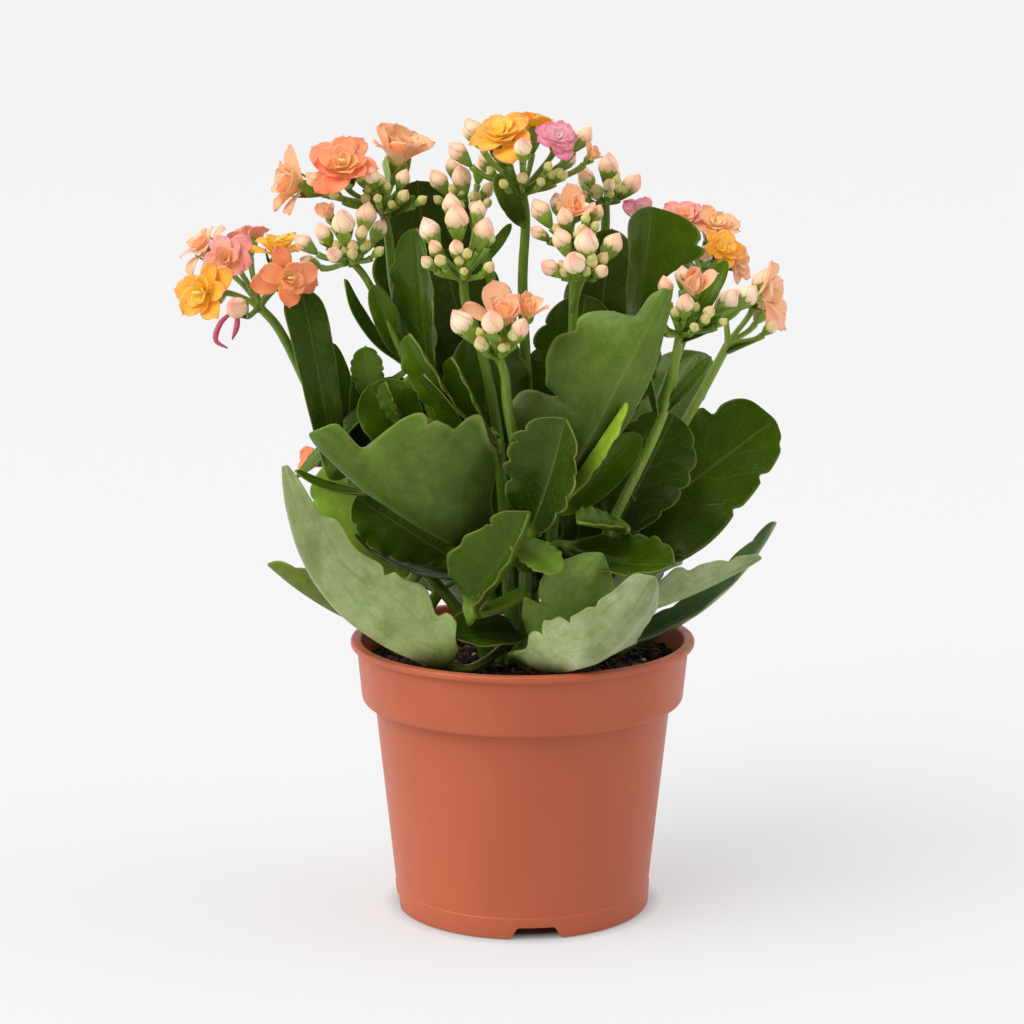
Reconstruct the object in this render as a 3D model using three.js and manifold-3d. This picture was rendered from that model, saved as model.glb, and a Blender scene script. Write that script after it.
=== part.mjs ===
// A flowering kalanchoe growing in a round nursery pot.
// Millimetres, +Z up, -Y towards the front. Plant positions are measured from the middle of the soil.

import * as THREE from "three";
import Module from "manifold-3d";

const wasm = await Module();
wasm.setup();
const { Manifold, Mesh } = wasm;

// ---- pot ---------------------------------------------------------------------------------------
const POT_HEIGHT = 96;
const RIM_RADIUS = 60.5; // outside of the lip
const FOOT_RADIUS = 45.4; // outside of the foot ring, on the ground
const WALL = 1.6;
const LIP_HEIGHT = 2.4;
const LIP_OVERHANG = 2.1; // lip beyond the top of the collar
const COLLAR_HEIGHT = 22; // lip included
const COLLAR_TAPER = 1.6; // collar radius lost from its top to its lower edge
const COLLAR_STEP = 4.6; // collar beyond the body under it
const COLLAR_ROUND = 1.8; // rounding of the collar's lower edge
const FOOT_BAND_HEIGHT = 7.5;
const FOOT_BAND_STEP = 0.3; // foot band beyond the body above it
const FLOOR_HEIGHT = 4.6; // underside of the floor above the ground
const FLOOR_THICKNESS = 2;
const FOOT_RING_WIDTH = 2.2;
const NOTCH_COUNT = 4;
const NOTCH_HEIGHT = 4;
const NOTCH_WIDTH = 19; // on the ground
const NOTCH_TOP_WIDTH = 13;
const NOTCH_TURN = 6; // degrees from the front, towards the right

// ---- soil --------------------------------------------------------------------------------------
const SOIL_BELOW_RIM = 8;
const SOIL_DOME = 1; // rise from the wall to the middle

// ---- plant -------------------------------------------------------------------------------------
const PLANT_HEIGHT = 191; // from the soil to the highest flower
const DRAWN_HEIGHT = 191; // the height at which the positions below are given
const LEAF_THICKNESS = 2.2; // along the midrib
const LEAF_EDGE_THICKNESS = 1.2;
const LEAF_LOBES = 4; // rounded lobes on each margin
const LOBE_DEPTH = 0.14; // notch depth as a share of the half width
const LOBES_FROM = 0.3; // share of the leaf length where the lobes begin
const STALK_WIDTH = 4.4;
const STEM_RADIUS = 2.5;
const STEM_TOP_RADIUS = 1.7;
const STEM_DEPTH = 14; // how far the stems go into the soil
const PEDICEL_RADIUS = 0.8;
const PETAL_SCALLOP = 0.14; // how far the notches between petals reach in

const FIT_GAP = 0.45; // left between two pieces that touch

// ---- facets ------------------------------------------------------------------------------------
const POT_SEGMENTS = 36;
const STEM_SIDES = 6;
const STEM_STATIONS = 6;
const BUD_SIDES = 5;
const FLOWER_SIDES = 10;
const SMOOTHING = 0.2; // facets flatter than this are merged

const SOIL_LEVEL = POT_HEIGHT - SOIL_BELOW_RIM;
const PLANT_SCALE = PLANT_HEIGHT / DRAWN_HEIGHT;
const UP = new THREE.Vector3(0, 0, 1);

// ---- solids ------------------------------------------------------------------------------------

// Closed solid skinned over rings of points; each end is closed on its pole, or on the middle of its ring.
function skin(rings, startPole, endPole) {
  const sides = rings[0].length;
  const points = rings.flat();
  const middle = (ring) => ring.reduce((sum, p) => sum.add(p), new THREE.Vector3()).divideScalar(sides);
  points.push(startPole ?? middle(rings[0]));
  points.push(endPole ?? middle(rings[rings.length - 1]));
  const triangles = [];
  for (let side = 0; side < sides; side += 1) {
    const next = (side + 1) % sides;
    for (let ring = 0; ring < rings.length - 1; ring += 1) {
      const near = ring * sides;
      const far = near + sides;
      triangles.push([near + side, near + next, far + next]);
      triangles.push([near + side, far + next, far + side]);
    }
    const last = (rings.length - 1) * sides;
    triangles.push([points.length - 2, next, side]);
    triangles.push([points.length - 1, last + side, last + next]);
  }
  const volume = triangles.reduce((sum, [a, b, c]) => sum + points[a].dot(points[b].clone().cross(points[c])), 0);
  const outward = volume > 0 ? triangles : triangles.map(([a, b, c]) => [a, c, b]);
  return new Manifold(new Mesh({
    numProp: 3,
    vertProperties: new Float32Array(points.flatMap((p) => [p.x, p.y, p.z])),
    triVerts: new Uint32Array(outward.flat()),
  }));
}

// Solid of revolution; the profile is [radius, height] pairs that begin and end on the axis.
function revolve(profile, segments) {
  const ring = ([radius, height]) => Array.from({ length: segments }, (_, step) => {
    const angle = (step / segments) * 2 * Math.PI;
    return new THREE.Vector3(radius * Math.cos(angle), radius * Math.sin(angle), height);
  });
  const onAxis = ([, height]) => new THREE.Vector3(0, 0, height);
  return skin(profile.slice(1, -1).map(ring), onAxis(profile[0]), onAxis(profile[profile.length - 1]));
}

// Some direction square to the one given.
function squareTo(direction) {
  const reference = Math.abs(direction.z) < 0.9 * direction.length() ? UP : new THREE.Vector3(1, 0, 0);
  return new THREE.Vector3().crossVectors(direction, reference).normalize();
}

// Circle of points round a centre, square to a direction; the radius may vary with the side number.
// Circles of one tube share a reference, so that the tube does not twist.
function circle(centre, direction, sides, radiusAt, reference = squareTo(direction)) {
  const across = reference.clone().addScaledVector(direction, -reference.dot(direction)).normalize();
  const other = new THREE.Vector3().crossVectors(direction, across).normalize();
  return Array.from({ length: sides }, (_, side) => {
    const angle = (side / sides) * 2 * Math.PI;
    const radius = radiusAt(side);
    return centre.clone()
      .addScaledVector(across, radius * Math.cos(angle))
      .addScaledVector(other, radius * Math.sin(angle));
  });
}

function joined(solids) {
  return solids.reduce((whole, solid) => whole.add(solid));
}

function largestBody(solid) {
  return solid.decompose().reduce((best, body) => (body.volume() > best.volume() ? body : best));
}

// ---- placing plant parts -----------------------------------------------------------------------

// A position given from the middle of the soil, at the drawn plant height.
function onPlant([x, y, z]) {
  return new THREE.Vector3(x * PLANT_SCALE, y * PLANT_SCALE, SOIL_LEVEL + z * PLANT_SCALE);
}

// Direction from two angles in degrees: turn 0 faces the front, 90 the right; tilt 90 faces up.
function facing([turn, tilt]) {
  const a = THREE.MathUtils.degToRad(turn);
  const b = THREE.MathUtils.degToRad(tilt);
  return new THREE.Vector3(Math.sin(a) * Math.cos(b), -Math.cos(a) * Math.cos(b), Math.sin(b));
}

// ---- pot and soil ------------------------------------------------------------------------------

const COLLAR_TOP_RADIUS = RIM_RADIUS - LIP_OVERHANG;
const COLLAR_RADIUS = COLLAR_TOP_RADIUS - COLLAR_TAPER; // at its lower edge
const COLLAR_BOTTOM = POT_HEIGHT - COLLAR_HEIGHT;
const BODY_TOP_RADIUS = COLLAR_RADIUS - COLLAR_STEP;
const BODY_FOOT_RADIUS = FOOT_RADIUS - FOOT_BAND_STEP;
const FLOOR_TOP = FLOOR_HEIGHT + FLOOR_THICKNESS;

function potOutside(grow) {
  return [
    [FOOT_RADIUS - 0.4 + grow, -grow],
    [FOOT_RADIUS + grow, FOOT_BAND_HEIGHT],
    [BODY_FOOT_RADIUS + grow, FOOT_BAND_HEIGHT + FOOT_BAND_STEP],
    [BODY_TOP_RADIUS + grow, COLLAR_BOTTOM - grow],
    [COLLAR_RADIUS - COLLAR_ROUND + grow, COLLAR_BOTTOM - grow],
    [COLLAR_RADIUS - 0.3 * COLLAR_ROUND + grow, COLLAR_BOTTOM + 0.3 * COLLAR_ROUND],
    [COLLAR_RADIUS + grow, COLLAR_BOTTOM + COLLAR_ROUND],
    [COLLAR_TOP_RADIUS + grow, POT_HEIGHT - LIP_HEIGHT - grow],
    [RIM_RADIUS - 0.3 * LIP_HEIGHT + grow, POT_HEIGHT - LIP_HEIGHT - grow],
    [RIM_RADIUS + grow, POT_HEIGHT - 0.7 * LIP_HEIGHT],
    [RIM_RADIUS + grow, POT_HEIGHT - 0.3 * LIP_HEIGHT],
    [RIM_RADIUS - 0.3 * LIP_HEIGHT + grow, POT_HEIGHT + grow],
  ];
}

function potInside(grow) {
  return [
    [COLLAR_TOP_RADIUS - 0.5 * WALL - grow, POT_HEIGHT + grow],
    [COLLAR_TOP_RADIUS - WALL - grow, POT_HEIGHT - 0.5 * WALL],
    [COLLAR_RADIUS - WALL - grow, COLLAR_BOTTOM + 1.4 * WALL + grow],
    [COLLAR_RADIUS - 1.6 * WALL - grow, COLLAR_BOTTOM + WALL + grow],
    [BODY_TOP_RADIUS - WALL - grow, COLLAR_BOTTOM + WALL + grow],
    [BODY_FOOT_RADIUS - WALL - grow, FLOOR_TOP + grow],
  ];
}

// Wedge that opens the foot ring at one place.
function notch(turn) {
  const away = facing([turn, 0]);
  const aside = new THREE.Vector3().crossVectors(away, UP);
  const below = -1;
  const cut = (distance) => [
    [-NOTCH_WIDTH / 2, below],
    [NOTCH_WIDTH / 2, below],
    [NOTCH_TOP_WIDTH / 2, NOTCH_HEIGHT],
    [-NOTCH_TOP_WIDTH / 2, NOTCH_HEIGHT],
  ].map(([offset, height]) => new THREE.Vector3(0, 0, height)
    .addScaledVector(away, distance)
    .addScaledVector(aside, offset));
  return skin([cut(FOOT_RADIUS - 12), cut(FOOT_RADIUS + 6)]);
}

function pot(grow) {
  const ringInside = FOOT_RADIUS - 0.4 - FOOT_RING_WIDTH - grow;
  const profile = [
    [0, FLOOR_HEIGHT - grow],
    [ringInside, FLOOR_HEIGHT - grow],
    [ringInside, -grow],
    ...potOutside(grow),
    ...potInside(grow),
    [0, FLOOR_TOP + grow],
  ];
  let body = revolve(profile, POT_SEGMENTS);
  for (let n = 0; n < NOTCH_COUNT; n += 1) {
    body = body.subtract(notch(NOTCH_TURN + (n * 360) / NOTCH_COUNT));
  }
  return body;
}

function soil(grow) {
  const wall = potInside(FIT_GAP);
  const [lowR, lowZ] = wall[2];
  const [highR, highZ] = wall[1];
  const edge = lowR + ((highR - lowR) * (SOIL_LEVEL - lowZ)) / (highZ - lowZ);
  return revolve([
    [0, FLOOR_TOP + FIT_GAP - grow],
    ...wall.slice(2).reverse(),
    [edge - 0.2, SOIL_LEVEL - SOIL_DOME + grow],
    [0.5 * edge, SOIL_LEVEL - 0.1 * SOIL_DOME + grow],
    [0, SOIL_LEVEL + grow],
  ], POT_SEGMENTS);
}

// ---- stems, buds and flowers -------------------------------------------------------------------

// Tapering round stem through its points, thickest at the first.
function stalk(points, startRadius, endRadius, grow, stations, sides) {
  const curve = new THREE.CatmullRomCurve3(points);
  const reference = squareTo(points[points.length - 1].clone().sub(points[0]));
  const rings = Array.from({ length: stations }, (_, n) => {
    const share = n / (stations - 1);
    const radius = startRadius + (endRadius - startRadius) * share + grow;
    const beyond = grow * (share === 1) - grow * (share === 0);
    const tangent = curve.getTangentAt(share);
    const centre = curve.getPointAt(share).addScaledVector(tangent, beyond);
    return circle(centre, tangent, sides, () => radius, reference);
  });
  return skin(rings);
}

// Closed bud on its pedicel: thin stalk, green tube, swollen petals and a point.
function bud(hub, row, grow) {
  const [x, y, z, width] = row;
  const centre = onPlant([x, y, z]);
  const size = width * PLANT_SCALE;
  const away = centre.clone().sub(hub);
  const reach = away.length();
  const axis = away.normalize().addScaledVector(UP, 0.35).normalize();
  const tube = Math.min(1.1 * size, 0.75 * reach);
  const shape = [
    [-tube, 0.2 * size],
    [-0.42 * size, 0.33 * size],
    [-0.05 * size, 0.5 * size],
    [0.35 * size, 0.37 * size],
  ];
  const ring = (at, radius) => circle(at, axis, BUD_SIDES, () => radius + grow);
  const rings = shape.map(([along, radius]) => ring(centre.clone().addScaledVector(axis, along), radius));
  rings.unshift(ring(hub, PEDICEL_RADIUS));
  return skin(rings, null, centre.clone().addScaledVector(axis, 0.7 * size + grow));
}

// Where the petals of an open flower meet its pedicel.
function flowerFoot({ at, width, faces }) {
  return onPlant(at).addScaledVector(facing(faces), -0.3 * width * PLANT_SCALE);
}

// Pedicel and green calyx cup under an open flower.
function flowerStalk(hub, flower, grow) {
  const foot = flowerFoot(flower);
  const axis = facing(flower.faces);
  const size = flower.width * PLANT_SCALE;
  const below = foot.clone().addScaledVector(axis, -0.35 * size);
  const ring = (at, radius) => circle(at, axis, BUD_SIDES, () => radius + grow);
  const pedicel = stalk([hub, below], PEDICEL_RADIUS, PEDICEL_RADIUS, grow, 2, BUD_SIDES);
  const inFlower = foot.clone().addScaledVector(axis, 0.06 * size + grow);
  const calyx = skin([ring(below, 0.07 * size), ring(inFlower, 0.14 * size)]);
  return joined([pedicel, calyx]);
}

// Open rosette: scalloped saucer of petals round a low centre.
function flower(row, grow) {
  const size = row.width * PLANT_SCALE;
  const foot = flowerFoot(row);
  const axis = facing(row.faces);
  const ring = (along, radius, scallop, beyond = 0) => circle(
    foot.clone().addScaledVector(axis, along * size + beyond),
    axis,
    FLOWER_SIDES,
    (side) => radius * size * (side % 2 ? 1 - scallop : 1) + grow,
  );
  return skin([
    ring(0, 0.1, 0, -grow),
    ring(0.26, 0.5, PETAL_SCALLOP, -grow),
    ring(0.34, 0.46, PETAL_SCALLOP, grow),
    ring(0.42, 0.24, 0, grow),
  ]);
}

// One flowering stem with its side branches, buds, half-open flowers and small leaves.
function floweringStem(spec, grow) {
  const solids = [];
  const line = spec.line.map(onPlant);
  line.unshift(line[0].clone().setZ(SOIL_LEVEL - STEM_DEPTH));
  solids.push(stalk(line, STEM_RADIUS, STEM_TOP_RADIUS, grow, STEM_STATIONS, STEM_SIDES));
  for (const branch of spec.branches ?? []) {
    solids.push(stalk(branch.map(onPlant), STEM_TOP_RADIUS, 0.8 * STEM_TOP_RADIUS, grow, 4, STEM_SIDES));
  }
  for (const head of spec.heads) {
    const hub = onPlant(head.hub);
    for (const row of head.buds ?? []) solids.push(bud(hub, row, grow));
    for (const row of head.flowers ?? []) solids.push(flowerStalk(hub, row, grow));
    for (const row of head.halfOpen ?? []) solids.push(flowerStalk(hub, row, grow), flower(row, grow));
  }
  for (const row of spec.smallLeaves ?? []) solids.push(leaf(row, grow, 1));
  return largestBody(joined(solids));
}

// ---- leaves ------------------------------------------------------------------------------------

// Half width of a leaf at a share of its length: narrow stalk, broad outer half, lobed margin.
function halfWidth(share, width, lobes) {
  const peakAt = 0.66;
  const blade = (s) => s * (1 - s) ** 0.5;
  const outline = (0.5 * width * blade(share)) / blade(peakAt);
  const phase = Math.max(0, (share - LOBES_FROM) / (1 - LOBES_FROM));
  const notchShare = share > LOBES_FROM ? 1 - Math.abs(Math.sin(Math.PI * lobes * phase)) : 0;
  return Math.hypot(outline * (1 - LOBE_DEPTH * notchShare), 0.3 * STALK_WIDTH * (1 - 0.5 * share));
}

// Shares of the length at the stalk, then at every notch and lobe, and at the tip.
function leafStations(lobes) {
  const lobed = Array.from({ length: 2 * lobes }, (_, n) => LOBES_FROM + ((1 - LOBES_FROM) * n) / (2 * lobes));
  return [0, 0.5 * LOBES_FROM, ...lobed, 0.985];
}

// Folded leaf from base to tip. Both halves lift by the fold angle towards the side the leaf faces,
// and the midrib bows by the given distance towards that side.
function leaf({ base, tip, width, bow = 0, fold = 20, faces }, grow, lobes = LEAF_LOBES) {
  const start = onPlant(base);
  const chord = onPlant(tip).sub(start);
  const length = chord.length();
  const along = chord.clone().normalize();
  const up = facing(faces);
  up.addScaledVector(along, -up.dot(along)).normalize();
  const aside = new THREE.Vector3().crossVectors(along, up);
  const foldAngle = THREE.MathUtils.degToRad(fold);
  const rim = (centre, normal, half) => [
    [1, 1],
    [0, 1],
    [-1, 1],
    [-1, -1],
    [0, -1],
    [1, -1],
  ].map(([sideways, face]) => {
    const reach = sideways * (half + grow);
    const thickness = 0.5 * (sideways ? LEAF_EDGE_THICKNESS : LEAF_THICKNESS) + grow;
    const lean = new THREE.Vector3()
      .addScaledVector(normal, Math.cos(foldAngle))
      .addScaledVector(aside, -sideways * Math.sin(foldAngle));
    if (sideways === 0) lean.copy(normal);
    return centre.clone()
      .addScaledVector(aside, reach * Math.cos(foldAngle))
      .addScaledVector(normal, Math.abs(reach) * Math.sin(foldAngle))
      .addScaledVector(lean, face * thickness);
  });
  const rings = leafStations(lobes).map((share) => {
    const centre = start.clone()
      .addScaledVector(chord, share)
      .addScaledVector(up, 4 * bow * PLANT_SCALE * share * (1 - share));
    const tangent = chord.clone().addScaledVector(up, 4 * bow * PLANT_SCALE * (1 - 2 * share)).normalize();
    const normal = up.clone().addScaledVector(tangent, -up.dot(tangent)).normalize();
    return rim(centre, normal, halfWidth(share, width * PLANT_SCALE, lobes));
  });
  const tipPole = start.clone().addScaledVector(chord, 1 + (0.5 + 2 * grow) / length);
  const blade = skin(rings, null, tipPole);
  const stem = nearestStemPoint(start);
  const inBlade = start.clone().addScaledVector(chord, 3 / length);
  if (stem.distanceTo(inBlade) < 2 * STEM_RADIUS) return blade;
  const stalkRadius = 0.5 * STALK_WIDTH * Math.min(1, width / 24);
  return joined([blade, stalk([stem, inBlade], stalkRadius, 0.6 * stalkRadius, grow, 2, 4)]);
}

// ---- the plant ---------------------------------------------------------------------------------
// Buds are [x, y, z, width].

const STEMS = {
  flower_stem_far_left: {
    line: [[-15, -4, 8], [-43, 0, 43], [-67, 2, 81], [-82, -4, 114], [-90, -6, 125]],
    heads: [
      { hub: [-90, -6, 124], buds: [[-96, -22, 126, 7.3]] },
      { hub: [-60, 1, 70], halfOpen: [{ at: [-74, 4, 71], width: 13, faces: [-60, 20] }] },
    ],
    smallLeaves: [
      { base: [-55, 1, 64], tip: [-54, -4, 111], width: 12, faces: [5, 0] },
      { base: [-55, 2, 64], tip: [-66, 6, 111], width: 8, faces: [20, 10] },
      { base: [-23, -4, 30], tip: [-58, -16, 47], width: 14, bow: -3, faces: [-20, 60] },
    ],
  },
  flower_stem_upper_left: {
    line: [[-8, -8, 8], [-18, -8, 51], [-37, -4, 103], [-44, 0, 130], [-46, 3, 147], [-48, 4, 157]],
    branches: [[[-35, -5, 98], [-42, -10, 111], [-52, -12, 133], [-58, -12, 141]]],
    heads: [
      {
        hub: [-48, 4, 156],
        buds: [[-71, -6, 168, 4.9], [-51, -7, 169, 5.2], [-64, -4, 163, 4], [-41, 2, 168, 5], [-49, 12, 166, 4.6]],
      },
      {
        hub: [-58, -12, 140],
        buds: [
          [-60, -20, 154, 7.7],
          [-53, -10, 156, 7],
          [-74, -12, 147, 5.6],
          [-67, -18, 151, 5.5],
          [-54, -20, 151, 4.2],
          [-63, -24, 144, 5.2],
          [-73, -6, 140, 4.9],
          [-49, -2, 151, 5.6],
        ],
        halfOpen: [{ at: [-66, -8, 157], width: 9, faces: [-40, 60] }],
      },
    ],
    smallLeaves: [
      { base: [-42, -9, 108], tip: [-51, -15, 133], width: 10, faces: [20, 10] },
      { base: [-40, -6, 105], tip: [-60, -16, 135], width: 8, bow: -5, faces: [60, 20] },
      { base: [-40, -4, 103], tip: [-78, -9, 66], width: 7, faces: [0, 60] },
      { base: [-38, -6, 78], tip: [-53, -9, 98], width: 24, faces: [10, 10] },
      { base: [-46, 2, 155], tip: [-37, 0, 162], width: 4, faces: [0, 10] },
    ],
  },
  flower_stem_middle_left: {
    line: [[-4, -14, 10], [-8, -16, 77], [-14, -22, 112], [-19, -24, 127], [-20, -24, 136]],
    heads: [
      {
        hub: [-20, -24, 135],
        buds: [
          [-31, -25, 152, 7],
          [-22, -28, 156, 8],
          [-13, -27, 152, 7],
          [-24, -18, 160, 6.3],
          [-29, -33, 147, 4.5],
          [-22, -35, 147, 4.9],
          [-15, -17, 158, 5.6],
        ],
      },
    ],
    smallLeaves: [{ base: [-10, -20, 79], tip: [-33, -34, 105], width: 16, faces: [-60, 20] }],
  },
  flower_stem_back_left: {
    line: [[-3, 6, 5], [-6, 8, 91], [-12, 10, 138], [-15, 12, 146], [-18, 12, 156]],
    heads: [
      {
        hub: [-18, 12, 155],
        buds: [
          [-29, 10, 167, 6.3],
          [-21, 6, 168, 7],
          [-12, 8, 164, 4.4],
          [-24, 20, 171, 5.9],
          [-15, 20, 170, 5.2],
        ],
      },
    ],
    smallLeaves: [{ base: [-13, 10, 139], tip: [-4, 10, 152], width: 4, faces: [0, 10] }],
  },
  flower_stem_top: {
    line: [[4, -2, 7], [2, -2, 85], [0, 0, 129], [1, 2, 153], [0, 2, 163]],
    heads: [
      {
        hub: [0, 2, 162],
        buds: [
          [-22, 0, 177, 6.3],
          [-17, 6, 184, 7],
          [0, -15, 179, 5.9],
          [21, 6, 182, 5.9],
          [16, 10, 174, 4.9],
          [-13, 12, 173, 4.9],
          [12, -4, 170, 3.4],
        ],
        halfOpen: [{ at: [24, -1, 176], width: 8.5, faces: [50, 40] }],
      },
    ],
    smallLeaves: [{ base: [0, 0, 152], tip: [-9, -10, 170], width: 8, faces: [0, 10] }],
  },
  flower_stem_back_right: {
    line: [[8, 8, 5], [17, 12, 62], [27, 18, 118], [29, 22, 149], [29, 22, 159]],
    heads: [
      {
        hub: [29, 22, 158],
        buds: [
          [30, 23, 171, 7.3],
          [38, 20, 165, 6.6],
          [22, 18, 168, 5.6],
          [22, 28, 166, 5],
          [30, 13, 165, 4.4],
          [32, 33, 168, 5.6],
        ],
      },
    ],
  },
  flower_stem_centre: {
    line: [[8, -14, 10], [11, -18, 60], [15, -18, 94], [17, -16, 120], [17, -16, 148]],
    branches: [[[17, -16, 124], [18, -20, 130], [20, -24, 137]]],
    heads: [
      {
        hub: [17, -16, 146],
        buds: [
          [6, -14, 158, 6.6],
          [14, -21, 156, 5.6],
          [25, -10, 157, 4.6],
          [5, -20, 151, 4.5],
          [24, -20, 153, 3.4],
          [12, -4, 160, 5.6],
        ],
        halfOpen: [{ at: [18, -12, 159], width: 12, faces: [10, 40] }],
      },
      {
        hub: [20, -24, 136],
        buds: [
          [13, -26, 149, 6.4],
          [21, -29, 148, 8],
          [30, -20, 147, 6.6],
          [17, -35, 142, 7.4],
          [9, -29, 140, 5.6],
          [26, -31, 139, 4.4],
        ],
      },
    ],
    smallLeaves: [{ base: [14, -18, 55], tip: [40, -14, 82], width: 14, faces: [0, 10] }],
  },
  flower_stem_front: {
    line: [[1, -22, 12], [0, -30, 62], [-5, -38, 94], [-6, -40, 105], [-8, -42, 112]],
    heads: [
      {
        hub: [-8, -42, 111],
        buds: [[-20, -44, 123, 7.7], [-10, -53, 124, 7.4], [-1, -50, 122, 5.9], [-14, -51, 117, 4]],
        halfOpen: [
          { at: [2, -42, 127], width: 9, faces: [20, 50] },
          { at: [-7, -38, 127], width: 20, faces: [0, 55] },
        ],
      },
    ],
    smallLeaves: [
      { base: [0, -26, 36], tip: [8, -40, 49], width: 16, faces: [180, 20] },
      { base: [0, -22, 14], tip: [-24, -40, 17], width: 22, fold: 10, faces: [0, 60] },
    ],
  },
  flower_stem_right: {
    line: [[13, -10, 9], [28, -20, 47], [47, -22, 89], [53, -20, 117]],
    heads: [
      {
        hub: [53, -20, 116],
        buds: [
          [48, -20, 133, 5.4],
          [54, -29, 128, 5.9],
          [54, -12, 136, 5],
          [69, -18, 128, 7],
          [76, -12, 129, 7],
          [62, -27, 125, 4],
        ],
        halfOpen: [{ at: [57, -24, 134], width: 12, faces: [10, 50] }],
      },
    ],
    smallLeaves: [
      { base: [52, -20, 114], tip: [69, -12, 141], width: 8, faces: [0, 20] },
      { base: [52, -20, 114], tip: [73, -24, 126], width: 6, faces: [0, 40] },
      { base: [47, -22, 90], tip: [63, -26, 110], width: 5, faces: [0, 20] },
      { base: [46, -22, 88], tip: [40, -26, 114], width: 5, faces: [-60, 10] },
    ],
  },
  flower_stem_far_right: {
    line: [[17, -2, 7], [36, -4, 50], [58, 0, 87], [71, 2, 111]],
    heads: [
      {
        hub: [71, 2, 110],
        buds: [[83, 4, 132, 8.2], [84, 10, 122, 5.6], [85, -8, 118, 4.4]],
        halfOpen: [{ at: [87, -2, 128], width: 20, faces: [62, 5] }],
      },
    ],
    smallLeaves: [{ base: [70, 2, 108], tip: [80, -5, 113], width: 3.4, faces: [0, 60] }],
  },
  flower_stem_right_back: {
    line: [[12, 6, 5], [24, 10, 33], [45, 18, 79], [59, 24, 117], [64, 26, 132]],
    heads: [
      {
        hub: [64, 26, 131],
        buds: [[64, 17, 141, 5.6], [56, 36, 144, 4.9], [76, 36, 139, 4.6]],
        halfOpen: [{ at: [42, 24, 155], width: 12, faces: [-10, 50] }],
      },
    ],
  },
};

// Open flowers, each on the stem and hub it grows from.
const FLOWERS = {
  flower_left_front: { stem: "flower_stem_far_left", at: [-109, -20, 131], width: 24, faces: [-30, 5] },
  flower_left_upper: { stem: "flower_stem_far_left", at: [-101, -12, 142], width: 19, faces: [-10, 15] },
  flower_left_outer: { stem: "flower_stem_far_left", at: [-112, 2, 147], width: 21, faces: [-70, 45] },
  flower_left_inner: { stem: "flower_stem_far_left", at: [-78, -22, 136], width: 23, faces: [25, 10] },
  flower_left_yellow: { stem: "flower_stem_far_left", at: [-84, -2, 147], width: 21, faces: [0, 80] },
  flower_left_back: { stem: "flower_stem_far_left", at: [-95, 12, 149], width: 16, faces: [-170, 60] },
  flower_upper_left: { stem: "flower_stem_upper_left", at: [-61, -8, 174], width: 24, faces: [-5, 38] },
  flower_upper_left_side: { stem: "flower_stem_upper_left", at: [-81, 4, 167], width: 22, faces: [-75, 20] },
  flower_upper_left_back: { stem: "flower_stem_upper_left", at: [-42, 14, 178], width: 24, faces: [150, 75] },
  flower_top_orange: { stem: "flower_stem_top", at: [-8, -8, 185], width: 24, faces: [-15, 55] },
  flower_top_back: { stem: "flower_stem_top", at: [4, 12, 188], width: 20, faces: [160, 78] },
  flower_top_pink: { stem: "flower_stem_top", at: [12, -8, 183], width: 16, faces: [10, 35] },
  flower_right_coral: { stem: "flower_stem_right_back", at: [57, 25, 155], width: 17, faces: [-10, 45] },
  flower_right_peach: { stem: "flower_stem_right_back", at: [68, 24, 152], width: 18, faces: [20, 45] },
  flower_right_yellow: { stem: "flower_stem_right_back", at: [70, 14, 144], width: 17, faces: [20, 30] },
  flower_right_low: { stem: "flower_stem_right_back", at: [77, 20, 138], width: 16, faces: [50, 5] },
};

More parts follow.
